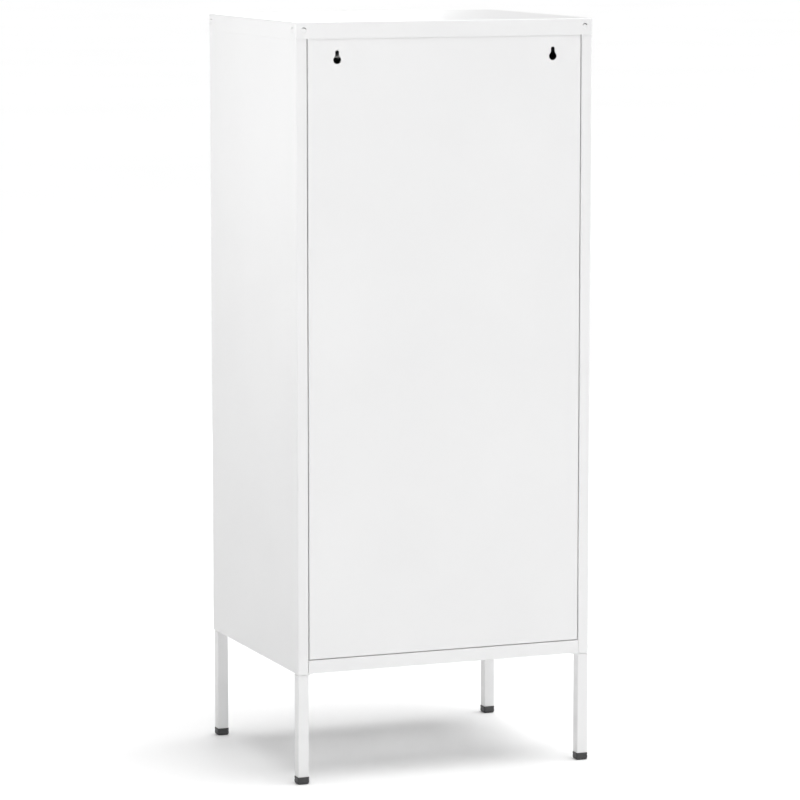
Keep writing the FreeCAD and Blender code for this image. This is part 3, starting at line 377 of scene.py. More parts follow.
def make_materials():
    """One material for each slot of the record."""
    made = {"white_powder_coat": powder_coat()}
    even = (1.0, 1.0, 1.0)
    for name, *looks in (
        ("zinc_fixings", (0.62, 0.64, 0.67), (0.78, 0.78, 0.76), (0.24, 0.38), even, 700.0, 4e-5),
        (
            "satin_steel", (0.61, 0.61, 0.60), (0.65, 0.65, 0.64), (0.26, 0.40), (1, 1, 0.03),
            2600.0, 5e-5,
        ),
        ("chrome", (0.83, 0.84, 0.85), (0.88, 0.88, 0.89), (0.05, 0.10), even, 500.0, 2e-5),
        ("nickel_key", (0.7, 0.67, 0.6), (0.74, 0.71, 0.64), (0.2, 0.28), (1, 0.06, 1), 3000, 1e-5),
    ):
        made[name] = plated(name, *looks)
    for name, *looks in (
        ("black_plastic", (0.040, 0.040, 0.041), (0.055, 0.055, 0.056), 0.5, 2200.0, 0.2),
        ("nylon", (0.78, 0.78, 0.73), (0.84, 0.84, 0.80), 0.42, 1500.0, 0.1),
        ("grey_rubber", (0.15, 0.15, 0.155), (0.2, 0.2, 0.205), 0.72, 1800.0, 0.3),
    ):
        made[name] = moulded(name, *looks)
    made["card"] = card_stock()
    return made


def finish_cad_nodes():
    """Give every CAD node the material of its slot."""
    for name, node in frame["nodes"].items():
        node.data.materials.clear()
        node.data.materials.append(materials[slots[name]])


# ---- mesh helpers, in millimetres
class Box:
    """The box of a CAD node; front is the middle of its -Y face."""

    def __init__(self, node):
        low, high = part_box(node)
        self.low = low / MM
        self.high = high / MM
        ends = list(zip(self.low, self.high))
        self.middle = Triple(*((low + high) / 2 for low, high in ends))
        self.size = Triple(*(high - low for low, high in ends))
        self.front = Vector((self.middle.x, self.low.y, self.middle.z))

    def ring(self, inset, radius, y, steps=CORNER_STEPS):
        """The box's outline from the front, moved inwards, as a rounded ring at y."""
        width = self.size.x - 2 * inset
        height = self.size.z - 2 * inset
        return rounded_ring(self.middle.x, self.middle.z, width, height, radius, y, steps)


def shares(steps):
    """Evenly spaced shares from 0 to 1."""
    return [step / steps for step in range(steps + 1)]


def clamped(value):
    return min(max(value, 0.0), 1.0)


def eased(share):
    """A share that starts and ends level."""
    return 3 * share ** 2 - 2 * share ** 3


def bridge(shape, first, second):
    """Quads between two closed rings of the same length."""
    for index, vert in enumerate(first):
        after = (index + 1) % len(first)
        shape.faces.new((vert, first[after], second[after], second[index]))


def add_rings(shape, rings):
    """A skin over closed rings of points; returns the rows of vertices."""
    rows = [[shape.verts.new(point) for point in ring] for ring in rings]
    for first, second in zip(rows, rows[1:]):
        bridge(shape, first, second)
    return rows


def add_solid(shape, rings):
    """A solid through closed rings, with flat ends."""
    rows = add_rings(shape, rings)
    shape.faces.new(rows[0])
    shape.faces.new(rows[-1])


def solid(rings):
    shape = bmesh.new()
    add_solid(shape, rings)
    return shape


def add_hollow(shape, rings):
    """A solid ring whose section is the closed line through the rings."""
    rows = add_rings(shape, rings)
    bridge(shape, rows[-1], rows[0])


def ring_edges(shape, row):
    """The edges round a closed row of vertices, made where they are missing."""
    edges = []
    for index, vert in enumerate(row):
        after = row[(index + 1) % len(row)]
        edges.append(shape.edges.get((vert, after)) or shape.edges.new((vert, after)))
    return edges


def outlined(shape, ring):
    """The edges of a new closed line through points."""
    return ring_edges(shape, [shape.verts.new(point) for point in ring])


def arc(radius, start, end, steps, center=(0, 0)):
    """Points (a, b) on an arc between two angles in degrees."""
    points = []
    for step in range(steps + 1):
        angle = math.radians(start + (end - start) * step / steps)
        points.append((center[0] + radius * math.cos(angle), center[1] + radius * math.sin(angle)))
    return points


def turned(base, direction, profile, segments=40, reach_of=None):
    """The rings of a turned shape; the profile holds (radius, height) points."""
    turn = direction.to_track_quat("Z", "Y")
    rings = []
    for radius, height in profile:
        ring = []
        for step in range(segments):
            angle = math.tau * step / segments
            reach = reach_of(radius, height, angle) if reach_of else radius
            spoke = Vector((reach * math.cos(angle), reach * math.sin(angle), height))
            ring.append(base + turn @ spoke)
        rings.append(ring)
    return rings


def circle(place, direction, radius, segments):
    """A circle of points."""
    return turned(place, direction, [(radius, 0)], segments)[0]


def threaded(pitch, depth):
    """A radius rule that cuts a screw thread."""
    def reach(radius, height, angle):
        phase = (height / pitch - angle / math.tau) % 1.0
        return radius - depth * abs(2 * phase - 1)
    return reach


def hexagonal(flats):
    """A radius rule that cuts six flats."""
    def reach(radius, height, angle):
        sector = (angle + math.pi / 6) % (math.pi / 3) - math.pi / 6
        return min(radius, flats / 2 / math.cos(sector))
    return reach


def rounded_ring(x, z, width, height, radius, y, steps=CORNER_STEPS):
    """A rounded rectangle that faces along Y, as a ring of points."""
    ring = []
    for side_x, side_z, start in ((1, 1, 0), (-1, 1, 90), (-1, -1, 180), (1, -1, 270)):
        center = (x + side_x * (width / 2 - radius), z + side_z * (height / 2 - radius))
        ring += [Vector((a, y, b)) for a, b in arc(radius, start, start + 90, steps, center)]
    return ring


def level_ring(x, y, width, depth, radius, z, steps=CORNER_STEPS):
    """A rounded rectangle that lies level, as a ring of points."""
    return [Vector((p.x, p.z, z)) for p in rounded_ring(x, y, width, depth, radius, 0, steps)]


def bar_rings(low, high, radius):
    """A rounded bar between two corners, as two level rings."""
    middle = (low + high) / 2
    size = high - low
    return [level_ring(middle.x, middle.y, size.x, size.y, radius, z, 2) for z in (low.z, high.z)]


def linked(name, data):
    """A new object in the scene."""
    item = bpy.data.objects.new(name, data)
    bpy.context.scene.collection.objects.link(item)
    return item


def facing_out(shape):
    bmesh.ops.recalc_face_normals(shape, faces=shape.faces)


def mesh_of(shape, name="temporary"):
    mesh = bpy.data.meshes.new(name)
    shape.to_mesh(mesh)
    return mesh


def modified(shape, kind, **settings):
    """Change a shape by one modifier."""
    item = linked("temporary", mesh_of(shape))
    modifier = item.modifiers.new(kind, kind)
    for key, value in settings.items():
        setattr(modifier, key, value)
    bpy.context.view_layer.update()
    evaluated = item.evaluated_get(bpy.context.evaluated_depsgraph_get())
    result = bpy.data.meshes.new_from_object(evaluated)
    shape.clear()
    shape.from_mesh(result)
    bpy.data.objects.remove(item)
    bpy.data.meshes.remove(result)


def carve(shape, cutter):
    """Cut one closed shape out of another and free the cutter."""
    facing_out(shape)
    facing_out(cutter)
    tool = linked("temporary", mesh_of(cutter))
    modified(shape, "BOOLEAN", operation="DIFFERENCE", object=tool, solver="EXACT")
    bpy.data.objects.remove(tool)
    cutter.free()


def carve_rings(shape, rings):
    """Cut a solid through closed rings out of a shape."""
    carve(shape, solid(rings))


def softened(shape, width):
    """Round the sharp edges of a shape."""
    facing_out(shape)
    modified(
        shape, "BEVEL", width=width, segments=2, limit_method="ANGLE",
        angle_limit=math.radians(SOFT_ANGLE), harden_normals=False,
    )


def stamp(shape, template, placements=(Matrix.Identity(4),)):
    """Add copies of a template, itself a shape, and free the template."""
    facing_out(template)
    mesh = mesh_of(template)
    template.free()
    for placement in placements:
        copy = mesh.copy()
        copy.transform(placement)
        shape.from_mesh(copy)
        bpy.data.meshes.remove(copy)
    bpy.data.meshes.remove(mesh)


def plate(outline, holes, shift):
    """A plate from an outline and holes, each a list of points, swept by a shift."""
    shape = bmesh.new()
    edges = []
    for line in [outline] + holes:
        edges += outlined(shape, line)
    bmesh.ops.triangle_fill(shape, use_beauty=True, edges=edges)
    bmesh.ops.dissolve_limit(
        shape, angle_limit=0.01, verts=list(shape.verts), edges=list(shape.edges)
    )
    swept = bmesh.ops.extrude_face_region(shape, geom=list(shape.faces))["geom"]
    moved = [item for item in swept if isinstance(item, bmesh.types.BMVert)]
    bmesh.ops.translate(shape, vec=shift, verts=moved)
    return shape


def aimed(place, direction):
    """The placement that turns +Z into a direction and moves the origin to a place."""
    return Matrix.Translation(place) @ direction.to_track_quat("Z", "Y").to_matrix().to_4x4()


def make_piece(name, shape, node):
    """Turn a shape in millimetres into a finished piece that stands for a CAD node."""
    facing_out(shape)
    bmesh.ops.scale(shape, vec=(MM, MM, MM), verts=shape.verts)
    mesh = mesh_of(shape, name)
    shape.free()
    mesh.materials.append(materials[slots[node]])
    mesh.shade_smooth()
    mesh.set_sharp_from_angle(angle=math.radians(SHARP_ANGLE))
    item = linked(name, mesh)
    even = item.modifiers.new("even_normals", "WEIGHTED_NORMAL")
    even.keep_sharp = True
    even.weight = 80
    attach(item, bodies[node])
    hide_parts(node)
    return item


# ---- carcass sheets
def carved_node(name, piece, cutters):
    """A CAD sheet with small details cut into it and its flat faces kept flat."""
    shape = bmesh.new()
    shape.from_mesh(frame["nodes"][name].data)
    bmesh.ops.scale(shape, vec=(1 / MM, 1 / MM, 1 / MM), verts=shape.verts)
    bmesh.ops.remove_doubles(shape, verts=shape.verts, dist=0.001)
    for cutter in cutters:
        carve(shape, cutter)
    item = make_piece(piece, shape, name)
    for face in item.data.polygons:
        face.use_smooth = max(abs(part) for part in face.normal) < FLAT_LIMIT


def shadow_groove():
    """A cutter that runs round the body just under the edge of the cap."""
    body = Box("right_side_panel")
    edge = Box("top_cap").low.z
    rings = []
    for reach, z in (
        (-GROOVE_DEPTH, edge - GROOVE_HEIGHT), (GROOVE_REACH, edge - GROOVE_HEIGHT),
        (GROOVE_REACH, edge), (-GROOVE_DEPTH, edge),
    ):
        width = 2 * (body.high.x + reach)
        depth = 2 * (body.high.y + reach)
        rings.append(level_ring(0, 0, width, depth, BODY_BEND + reach, z))
    shape = bmesh.new()
    add_hollow(shape, rings)
    return shape


def cap_slits():
    """A cutter for the lanced slit along the upper rim of each dimple in the cap."""
    high = Box("top_cap").high
    outline = arc(SLIT_RADIUS + SLIT_WIDTH, 30, 150, 12) + arc(SLIT_RADIUS, 150, 30, 12)
    shape = bmesh.new()
    for side_x in (-1, 1):
        for side_y in (-1, 1):
            corner = Vector((side_x * high.x, side_y * high.y, high.z - DIMPLE_DROP))
            out_x = side_x * X_AXIS
            out_y = side_y * Y_AXIS
            for inward, through in ((-out_x, out_y), (-out_y, out_x)):
                center = corner + inward * DIMPLE_INSET
                rings = []
                for depth in (SHEET, -4 * SHEET):
                    base = center + through * depth
                    rings.append([base + inward * a + Z_AXIS * b for a, b in outline])
                add_solid(shape, rings)
    return shape


def carcass_sheets():
    """The sheets that meet round the edge of the lid."""
    carved_node("top_cap", "lid_sheet", [cap_slits()])
    for side in ("left", "right"):
        carved_node(f"{side}_side_panel", f"{side}_side_sheet", [shadow_groove(), cap_slits()])
    carved_node("back_panel", "back_sheet", [shadow_groove()])


# ---- doors
def fill_front(shape, edges):
    """Fill between closed lines that face the front."""
    bmesh.ops.triangle_fill(shape, use_beauty=True, edges=edges, normal=(0, -1, 0))


def skin_plane(tier):
    """Where the front of a door's skin lies."""
    return Box(f"{tier}_label_card").high.y


def rivet_places(tier, y):
    """The axes of a label holder's two rivets, at a depth."""
    group = Box(f"{tier}_label_rivets")
    ends = (group.low.x + RIVET_HEAD_RADIUS, group.high.x - RIVET_HEAD_RADIUS)
    return [Vector((x, y, group.middle.z)) for x in ends]


def louvre_patch(shape, middle, lance_z, face_y):
    """A patch of skin with one louvre: lanced along its lower edge and pressed out above it.

    Returns the patch's border edges, which all lie in the skin's plane.
    """
    half = LOUVRE_LENGTH / 2
    ends = [LOUVRE_END * share for share in shares(LOUVRE_STEPS)]
    columns = [-half - LOUVRE_MARGIN]
    columns += [-half + end for end in ends]
    columns += [half - LOUVRE_END + end for end in ends]
    columns += [half + LOUVRE_MARGIN]

    def row(z, lift=0.0):
        """Vertices along one height, pressed out between the louvre's ends."""
        verts = []
        for column in columns:
            end = math.sin(clamped((half - abs(column)) / LOUVRE_END) * math.pi / 2)
            droop = LOUVRE_DROOP * lift * max(end - LOUVRE_STRAIGHT, 0.0)
            y = face_y - LOUVRE_RISE * lift * end
            verts.append(shape.verts.new((middle + column, y, z - droop)))
        return verts

    bottom = row(lance_z - LOUVRE_MARGIN)
    still = row(lance_z)
    raised = []
    for share in shares(LOUVRE_STEPS):
        lift = math.sin((1 - share) * math.pi / 2) ** 2
        raised.append(row(lance_z + LOUVRE_HEIGHT * share, lift))
    raised.append(row(lance_z + LOUVRE_HEIGHT + LOUVRE_MARGIN))
    for index, vert in enumerate(raised[0]):
        if abs(vert.co.y - face_y) < SAME_PLACE:
            raised[0][index] = still[index]
            shape.verts.remove(vert)
    for low, high in [(bottom, still)] + list(zip(raised, raised[1:])):
        for index in range(len(columns) - 1):
            shape.faces.new((low[index], low[index + 1], high[index + 1], high[index]))
    left = [line[0] for line in [bottom] + raised]
    right = [line[-1] for line in [bottom] + raised]
    edges = []
    for line in (bottom, raised[-1], left, right):
        edges += [shape.edges.get(pair) for pair in zip(line, line[1:])]
    return edges


def door_panel(tier):
    """A folded pan with pressed louvres, cut for its cup, rivets and bushes."""
    door = Box(f"{tier}_door_shell")
    face_y = skin_plane(tier)
    back_y = door.high.y
    back_fold = DOOR_FOLD - SHEET + TIGHT_BEND
    section = arc(DOOR_FOLD, 270, 180, CORNER_STEPS, (DOOR_FOLD, face_y + DOOR_FOLD))
    section += arc(back_fold, 180, 90, CORNER_STEPS, (back_fold, back_y - back_fold))
    section += [(DOOR_FLANGE, back_y)]
    rings = []
    for inset, y in section:
        rings.append(door.ring(inset, max(DOOR_CORNER - inset, DOOR_CORNER / 4), y))
    shape = bmesh.new()
    edges = ring_edges(shape, add_rings(shape, rings)[0])
    for row_index in range(LOUVRE_ROWS):
        offset = LOUVRE_INSET + row_index * LOUVRE_PITCH
        for z in (door.low.z + offset, door.high.z - offset):
            edges += louvre_patch(shape, door.middle.x, z - LOUVRE_HEIGHT / 2, face_y)
    edges += outlined(shape, Box(f"{tier}_handle_cup").ring(CUP_RIM, CUP_RADIUS, face_y))
    for place in rivet_places(tier, face_y):
        edges += outlined(shape, circle(place, Y_AXIS, RIVET_RADIUS, 20))
    fill_front(shape, edges)
    facing_out(shape)
    skin = max(shape.faces, key=lambda face: face.calc_area())
    if skin.normal.y > 0:
        bmesh.ops.reverse_faces(shape, faces=shape.faces)
    modified(shape, "SOLIDIFY", thickness=SHEET, offset=-1.0, use_even_offset=True)
    bushes = Box(f"{tier}_hinge_bushes")
    for end in (bushes.low.z, bushes.high.z):
        place = Vector((bushes.middle.x, bushes.middle.y, end - BUSH_CUT))
        hole = [(BUSH_RADIUS, 0), (BUSH_RADIUS, 2 * BUSH_CUT)]
        carve_rings(shape, turned(place, Z_AXIS, hole, 32))
    make_piece(f"{tier}_door_panel", shape, f"{tier}_door_shell")


def pull_cup(tier):
    """A deep-drawn cup with a rolled rim and a lip that the fingers pull on."""
    cup = Box(f"{tier}_handle_cup")
    lock = Box(f"{tier}_lock_housing").middle
    face_y = skin_plane(tier)
    front = cup.low.y
    back = cup.high.y
    floor = back - CUP_WALL
    mouth = CUP_RIM + CUP_WALL
    foot_in = mouth + CUP_DRAFT
    foot_out = CUP_RIM + CUP_DRAFT
    outer = CUP_FILLET + CUP_WALL
    edge = CUP_RIM_EDGE
    inside = arc(edge, 180, 270, 4, (edge, front + edge))
    inside += arc(CUP_ROLL, -90, 0, 5, (mouth - CUP_ROLL, front + CUP_ROLL))
    inside += [(foot_in - CUP_LEAN, floor - CUP_FILLET)]
    inside += arc(CUP_FILLET, 180, 90, 6, (foot_in + CUP_FILLET, floor - CUP_FILLET))
    outside = [(0.0, face_y), (CUP_RIM - CUP_SLACK, face_y), (foot_out - CUP_LEAN, back - outer)]
    outside += arc(outer, 180, 90, 6, (foot_out + outer, back - outer))
    rings = []
    for inset, y in inside[::-1] + outside:
        radius = max(CUP_RADIUS + CUP_RIM - inset * CUP_RADIUS_SHARE, CUP_FILLET)
        rings.append(cup.ring(inset, radius, y, CUP_STEPS))
    shape = bmesh.new()
    cup_rows = add_rings(shape, rings)
    hole = [(LOCK_RADIUS, 0), (LOCK_RADIUS, CUP_WALL)]
    hole_rows = add_rings(shape, turned(Vector((lock.x, floor, lock.z)), Y_AXIS, hole, 48))
    for end in (0, -1):
        fill_front(shape, ring_edges(shape, cup_rows[end]) + ring_edges(shape, hole_rows[end]))
    add_grip_lip(shape, cup.high.x - mouth, cup.high.z, front)
    make_piece(f"{tier}_pull_cup", shape, f"{tier}_handle_cup")


def add_grip_lip(shape, wall_x, rim_top, front):
    """The lip: it grows out of the rim, covers part of the cup and curls into it."""
    top = rim_top - CUP_RIM - CUP_RADIUS - CUP_WALL
    rings = []
    for share in shares(LIP_STEPS):
        near = min(share, 1 - share)
        swell = math.sin(near * math.tau) if near < 0.25 else 1.0
        edge_x = wall_x - LIP_START - (GRIP_LIP - LIP_START) * swell
        edge_y = front + LIP_CURL + LIP_DROP * swell
        curl = (edge_x + LIP_CURL, front + LIP_CURL)
        line = [(wall_x + LIP_ROOT, front)] + arc(LIP_CURL, 270, 180, 5, curl)
        line += [(edge_x, edge_y), (edge_x + SHEET, edge_y)]
        line += arc(LIP_CURL - SHEET, 180, 270, 5, curl)
        line += [(wall_x + LIP_ROOT, front + SHEET)]
        z = top - GRIP_LIP_LENGTH * share
        rings.append([Vector((a, b, z)) for a, b in line])
    add_solid(shape, rings)


def stiffener(tier):
    """A hat section welded to the back of the skin, with tapered and closed ends."""
    box = Box(f"{tier}_door_stiffener")
    rings = []
    for share in shares(STIFFENER_STEPS):
        z = box.low.z + box.size.z * share
        from_end = min(z - box.low.z, box.high.z - z)
        rise = 0.5 - 0.5 * math.cos(min(from_end / STIFFENER_TAPER, 1.0) * math.pi)
        depth = (box.size.y - SHEET) * (STIFFENER_START + (1 - STIFFENER_START) * rise)
        rings.append(hat_section(box, depth, z))
    shape = solid(rings)
    make_piece(f"{tier}_stiffener_rib", shape, f"{tier}_door_stiffener")


def hat_section(box, depth, z):
    """One ring of the stiffener: out along its outer face and back along its inner face."""
    inner = []
    for share in shares(HAT_STEPS):
        x = box.size.x * (share - 0.5)
        slope = (STIFFENER_TOP / 2 - abs(x)) / ((STIFFENER_TOP - STIFFENER_CROWN) / 2)
        inner.append(Vector((box.middle.x + x, box.low.y + depth * eased(clamped(slope)), z)))
    return [point + SHEET * Y_AXIS for point in inner] + inner[::-1]


def card_holder(tier):
    """A pressed holder with rolled edges, open at the top, and an ear at each side."""
    box = Box(f"{tier}_label_frame")
    x = box.middle.x
    z = box.middle.z
    width = box.size.x - 2 * LABEL_EAR
    front = box.low.y
    back = box.high.y
    inner = front + LABEL_SHEET
    section = [(0.0, back)] + arc(LABEL_ROLL, 180, 270, 5, (LABEL_ROLL, front + LABEL_ROLL))
    section += [
        (LABEL_BORDER - LABEL_EASE, front), (LABEL_BORDER, front + LABEL_EASE),
        (LABEL_BORDER, inner), (LABEL_INNER_ROLL, inner),
        (LABEL_SHEET, front + LABEL_INNER_ROLL), (LABEL_SHEET, back),
    ]
    rings = []
    for inset, y in section:
        radius = max(LABEL_CORNER - inset, 0.5)
        rings.append(rounded_ring(x, z, width - 2 * inset, box.size.z - 2 * inset, radius, y))
    shape = bmesh.new()
    add_hollow(shape, rings)
    half = width / 2 - LABEL_SHEET
    depth = back + CUT_MARGIN - inner
    carve_rings(shape, [
        level_ring(x, inner + depth / 2, 2 * half, depth, 0.2, z + box.size.z / 2 + rise)
        for rise in (-LABEL_BORDER, CUT_MARGIN)
    ])
    ear = LABEL_EAR + LABEL_SHEET
    for side, place in zip((-1, 1), rivet_places(tier, back)):
        ear_x = x + side * (half + ear / 2)
        outline = rounded_ring(ear_x, z, ear, 2 * LABEL_EAR, LABEL_EAR_CORNER, back)
        hole = circle(place, -Y_AXIS, RIVET_RADIUS, 28)
        stamp(shape, plate(outline, [hole], -LABEL_SHEET * Y_AXIS))
    softened(shape, LABEL_SOFTNESS)
    make_piece(f"{tier}_card_holder", shape, f"{tier}_label_frame")


def blank_card(tier):
    """A card with slightly rounded corners that bows a little in its holder."""
    box = Box(f"{tier}_label_card")
    rings = []
    for share in shares(CARD_STEPS):
        bow = CARD_BOW * (1 - (2 * share - 1) ** 2)
        near, far = (box.low.y + box.size.y * (part - bow) for part in (CARD_BOW, CARD_BACK))
        trim = CARD_TRIM if share in (0, 1) else 0.0
        low = box.low.z + trim
        high = box.high.z - trim
        x = box.low.x + box.size.x * share
        line = ((near, low), (near, high), (far, high), (far, low))
        rings.append([Vector((x, y, z)) for y, z in line])
    shape = solid(rings)
    make_piece(f"{tier}_blank_card", shape, f"{tier}_label_card")


def rivets(tier):
    """Domed blind rivets with the dimple of their mandrels, and a bulb behind the skin."""
    box = Box(f"{tier}_label_rivets")
    head = RIVET_HEAD_RADIUS
    tall = RIVET_HEAD
    neck = RIVET_RADIUS - 0.05
    seat = box.low.y + tall
    reach = box.high.y - seat
    profile = [(0.55, 0.35 - tall), (0.75, 0.05 - tall), (0.95, -tall)]
    profile += [(head * 0.62, -tall * 0.86), (head * 0.88, -tall * 0.5), (head, -0.12)]
    profile += [(head - 0.1, 0), (neck, 0), (neck, 1.5), (RIVET_RADIUS, 1.7)]
    profile += [(RIVET_RADIUS, reach - 0.4), (RIVET_RADIUS - 0.4, reach)]
    shape = bmesh.new()
    for place in rivet_places(tier, seat):
        add_solid(shape, turned(place, Y_AXIS, profile, 28))
    make_piece(f"{tier}_holder_rivets", shape, f"{tier}_label_rivets")


# ---- locks
def lock_case(tier):
    """The lock's fixed outside: a polished flange and a threaded barrel with two flats."""
    box = Box(f"{tier}_lock_housing")
    flange = box.size.x / 2
    length = box.size.y
    bore = PLUG_RADIUS + PLUG_CLEARANCE
    seat = PLUG_RIM_RADIUS + PLUG_CLEARANCE
    step = PLUG_RIM + 0.1
    start = LOCK_FLANGE + 0.2
    run = length - LOCK_BEVEL - start
    profile = [(bore, step), (seat, step), (seat, 0.35), (seat + 0.35, 0)]
    profile += arc(LOCK_ROLL, -90, -20, 6, (flange - LOCK_ROLL, LOCK_ROLL))
    profile += [(flange, LOCK_FLANGE - 0.3), (flange - 0.3, LOCK_FLANGE)]
    profile += [(LOCK_RADIUS, LOCK_FLANGE)]
    profile += [(LOCK_RADIUS, start + run * share) for share in shares(LOCK_THREAD_STEPS)]
    profile += [(LOCK_RADIUS - LOCK_BEVEL, length), (bore, length)]
    thread = threaded(LOCK_THREAD, LOCK_THREAD_DEPTH)

    def reach(radius, height, angle):
        if radius == LOCK_RADIUS and LOCK_FLANGE + CUP_WALL < height < length - 0.6:
            radius = thread(radius, height, angle)
        if height < LOCK_FLANGE + 0.1:
            return radius
        return min(radius, LOCK_FLAT / max(abs(math.cos(angle)), 1e-6))

    shape = bmesh.new()
    add_hollow(shape, turned(box.front, Y_AXIS, profile, 64, reach))
    make_piece(f"{tier}_lock_case", shape, f"{tier}_lock_housing")


def nut(place, direction, flats, height, bore):
    """A hexagonal nut with chamfered corners and bore, its seat at a place."""
    apothem = flats / 2
    face = apothem * NUT_FACE
    slant = apothem / math.cos(math.pi / 6) - face
    chamfer = [(face + slant * part, slant / 2 * part) for part in shares(4)]
    profile = [(bore, NUT_EASE), (bore + NUT_EASE, 0)] + chamfer
    profile += [(radius, height - drop) for radius, drop in reversed(chamfer)]
    profile += [(bore + NUT_EASE, height), (bore, height - NUT_EASE)]
    shape = bmesh.new()
    add_hollow(shape, turned(place, direction, profile, 48, hexagonal(flats)))
    return shape


def lock_nut(tier):
    """The thin nut that clamps the lock in the cup."""
    box = Box(f"{tier}_lock_nut")
    shape = nut(box.front, Y_AXIS, box.size.z, box.size.y, LOCK_RADIUS)
    make_piece(f"{tier}_clamp_nut", shape, f"{tier}_lock_nut")


def lock_core(tier):
    """The turning plug: a dished face with a keyway and a square tail for the cam."""
    box = Box(f"{tier}_lock_plug")
    length = box.size.y - CAM_SHEET
    rim = PLUG_RIM_RADIUS
    profile = [(rim * 0.45, 0.18), (rim * 0.7, 0.12), (rim - 0.9, 0.0), (rim - 0.35, 0.0)]
    profile += [(rim, 0.35), (rim, PLUG_RIM), (PLUG_RADIUS, PLUG_RIM + 0.05)]
    profile += [(PLUG_RADIUS, length - 0.4), (PLUG_RADIUS - 0.4, length)]
    shape = solid(turned(box.front, Y_AXIS, profile, 56))
    half = Vector((KEYWAY_WIDTH / 2, 0, KEYWAY_HEIGHT / 2))
    mouth = box.front - CUT_MARGIN * Y_AXIS
    bottom = box.front + KEYWAY_DEPTH * Y_AXIS
    carve_rings(shape, bar_rings(mouth - half, bottom + half, KEYWAY_CORNER))
    half = Vector((PLUG_SQUARE / 2, 0, PLUG_SQUARE / 2))
    root = box.front + (length - 1) * Y_AXIS
    tail = box.front + box.size.y * Y_AXIS
    add_solid(shape, bar_rings(root - half, tail + half, PLUG_SQUARE_CORNER))
    make_piece(f"{tier}_lock_core", shape, f"{tier}_lock_plug")


def flat_key(tier):
    """A flat key: a round bow with a ring hole, and a blade with bitting."""
    box = Box(f"{tier}_key")
    z = box.middle.z
    end = box.high.y
    radius = box.size.z / 2
    half = KEY_BLADE_HEIGHT / 2
    low = z - half
    high = z + half
    reach = math.sqrt(radius ** 2 - half ** 2)
    start = math.degrees(math.atan2(half, reach))
    bow_y = box.low.y + radius
    neck = bow_y + reach
    depth = end - neck
    blank = arc(radius, start, 360 - start, 40, (bow_y, z))
    blank += [(neck + depth * 0.18, low)]
    for index, bit in enumerate(KEY_BITS):
        middle = neck + depth * (0.25 + 0.09 * index)
        blank += [(middle - 0.35, low + bit), (middle + 0.35, low + bit)]
    blank += [(end - 1.6, low + 0.2), (end, low + 2.4), (end, high - 1.2), (end - 1.2, high)]
    eye = arc(KEY_RING_RADIUS, 0, 360, 24, (bow_y - radius / 2, z))[:-1]
    outline, hole = ([Vector((box.low.x, a, b)) for a, b in line] for line in (blank, eye))
    shape = plate(outline, [hole], box.size.x * X_AXIS)
    softened(shape, PRESSED_EDGE)
    make_piece(f"{tier}_flat_key", shape, f"{tier}_key")


def latch_cam(tier):
    """The cranked cam with rounded ends, pointing down."""
    box = Box(f"{tier}_lock_cam")
    x = box.middle.x
    half = box.size.x / 2
    hub_y = box.high.y - CAM_SHEET
    axis_z = Box(f"{tier}_lock_plug").middle.z
    crank_z = axis_z - CAM_CRANK_START
    crank = CAM_CRANK_END - CAM_CRANK_START
    turns = [share * math.pi / 2 for share in shares(CAM_STEPS)]
    heights = [box.high.z - half * CAM_TOP * (1 - math.cos(turn)) for turn in turns] + [axis_z]
    heights += [crank_z - crank * share for share in shares(CRANK_STEPS)]
    heights += [box.low.z + half * CAM_TIP * (1 - math.sin(turn)) for turn in turns]
    rings = []
    for height in heights:
        from_top = (box.high.z - height) / (half * CAM_TOP)
        from_tip = (height - box.low.z) / (half * CAM_TIP)
        into = min(from_top, from_tip, 1.0)
        round_end = math.sqrt(max(1 - (1 - into) ** 2, 0.0))
        width = half * (CAM_NARROW + (1 - CAM_NARROW) * round_end)
        near = hub_y + (box.low.y - hub_y) * eased(clamped((crank_z - height) / crank))
        far = near + CAM_SHEET
        line = ((x - width, near), (x + width, near), (x + width, far), (x - width, far))
        rings.append([Vector((a, b, height)) for a, b in line])
    shape = solid(rings)
    softened(shape, PRESSED_EDGE)
    make_piece(f"{tier}_latch_cam", shape, f"{tier}_lock_cam")


# ---- fixings
def screw(head_radius, head_height, radius, reach, pitch):
    """A pan-head screw with a cross recess, its seat at the origin and its shank along +Z."""
    crown = head_height * 0.62
    shoulder = head_height - crown
    profile = [(head_radius * 0.3, -head_height)]
    for a, b in arc(1.0, 80, 0, 7):
        profile.append((head_radius * (0.3 + 0.7 * a), -shoulder - crown * b))
    profile += [(head_radius, -0.2), (head_radius - 0.2, 0), (radius, 0)]
    steps = max(int(reach / pitch * 6), 6)
    profile += [(radius, reach * 0.96 * share) for share in shares(steps)[1:]]
    profile += [(radius * 0.7, reach)]
    thread = threaded(pitch, pitch * 0.3)

    def rule(size, height, angle):
        if 0.3 < height < reach * 0.95 and size > radius * 0.9:
            return thread(size, height, angle)
        return size

    shape = solid(turned(Vector(), Z_AXIS, profile, 36, rule))
    arm = head_radius * 0.55
    thin = head_radius * 0.13
    corner = thin * 0.4
    for wide, narrow in ((arm, thin), (thin, arm)):
        rings = [
            level_ring(0, 0, 2 * wide, 2 * narrow, corner, z, 2)
            for z in (-head_height - CUT_MARGIN, -head_height)
        ]
        rings.append(level_ring(
            0, 0, wide + corner, narrow + corner, thin * 0.3, -head_height * RECESS_FLOOR, 2
        ))
        carve_rings(shape, rings)
    return shape


def stamped_piece(name, node, template, placements):
    """One piece of many copies of a fixing."""
    shape = bmesh.new()
    stamp(shape, template, placements)
    make_piece(name, shape, node)


def corner_places(box, radius, z):
    """The four upright axes of a group of round fixings, from the group's box."""
    return [
        Vector((x, y, z))
        for x in (box.low.x + radius, box.high.x - radius)
        for y in (box.low.y + radius, box.high.y - radius)
    ]


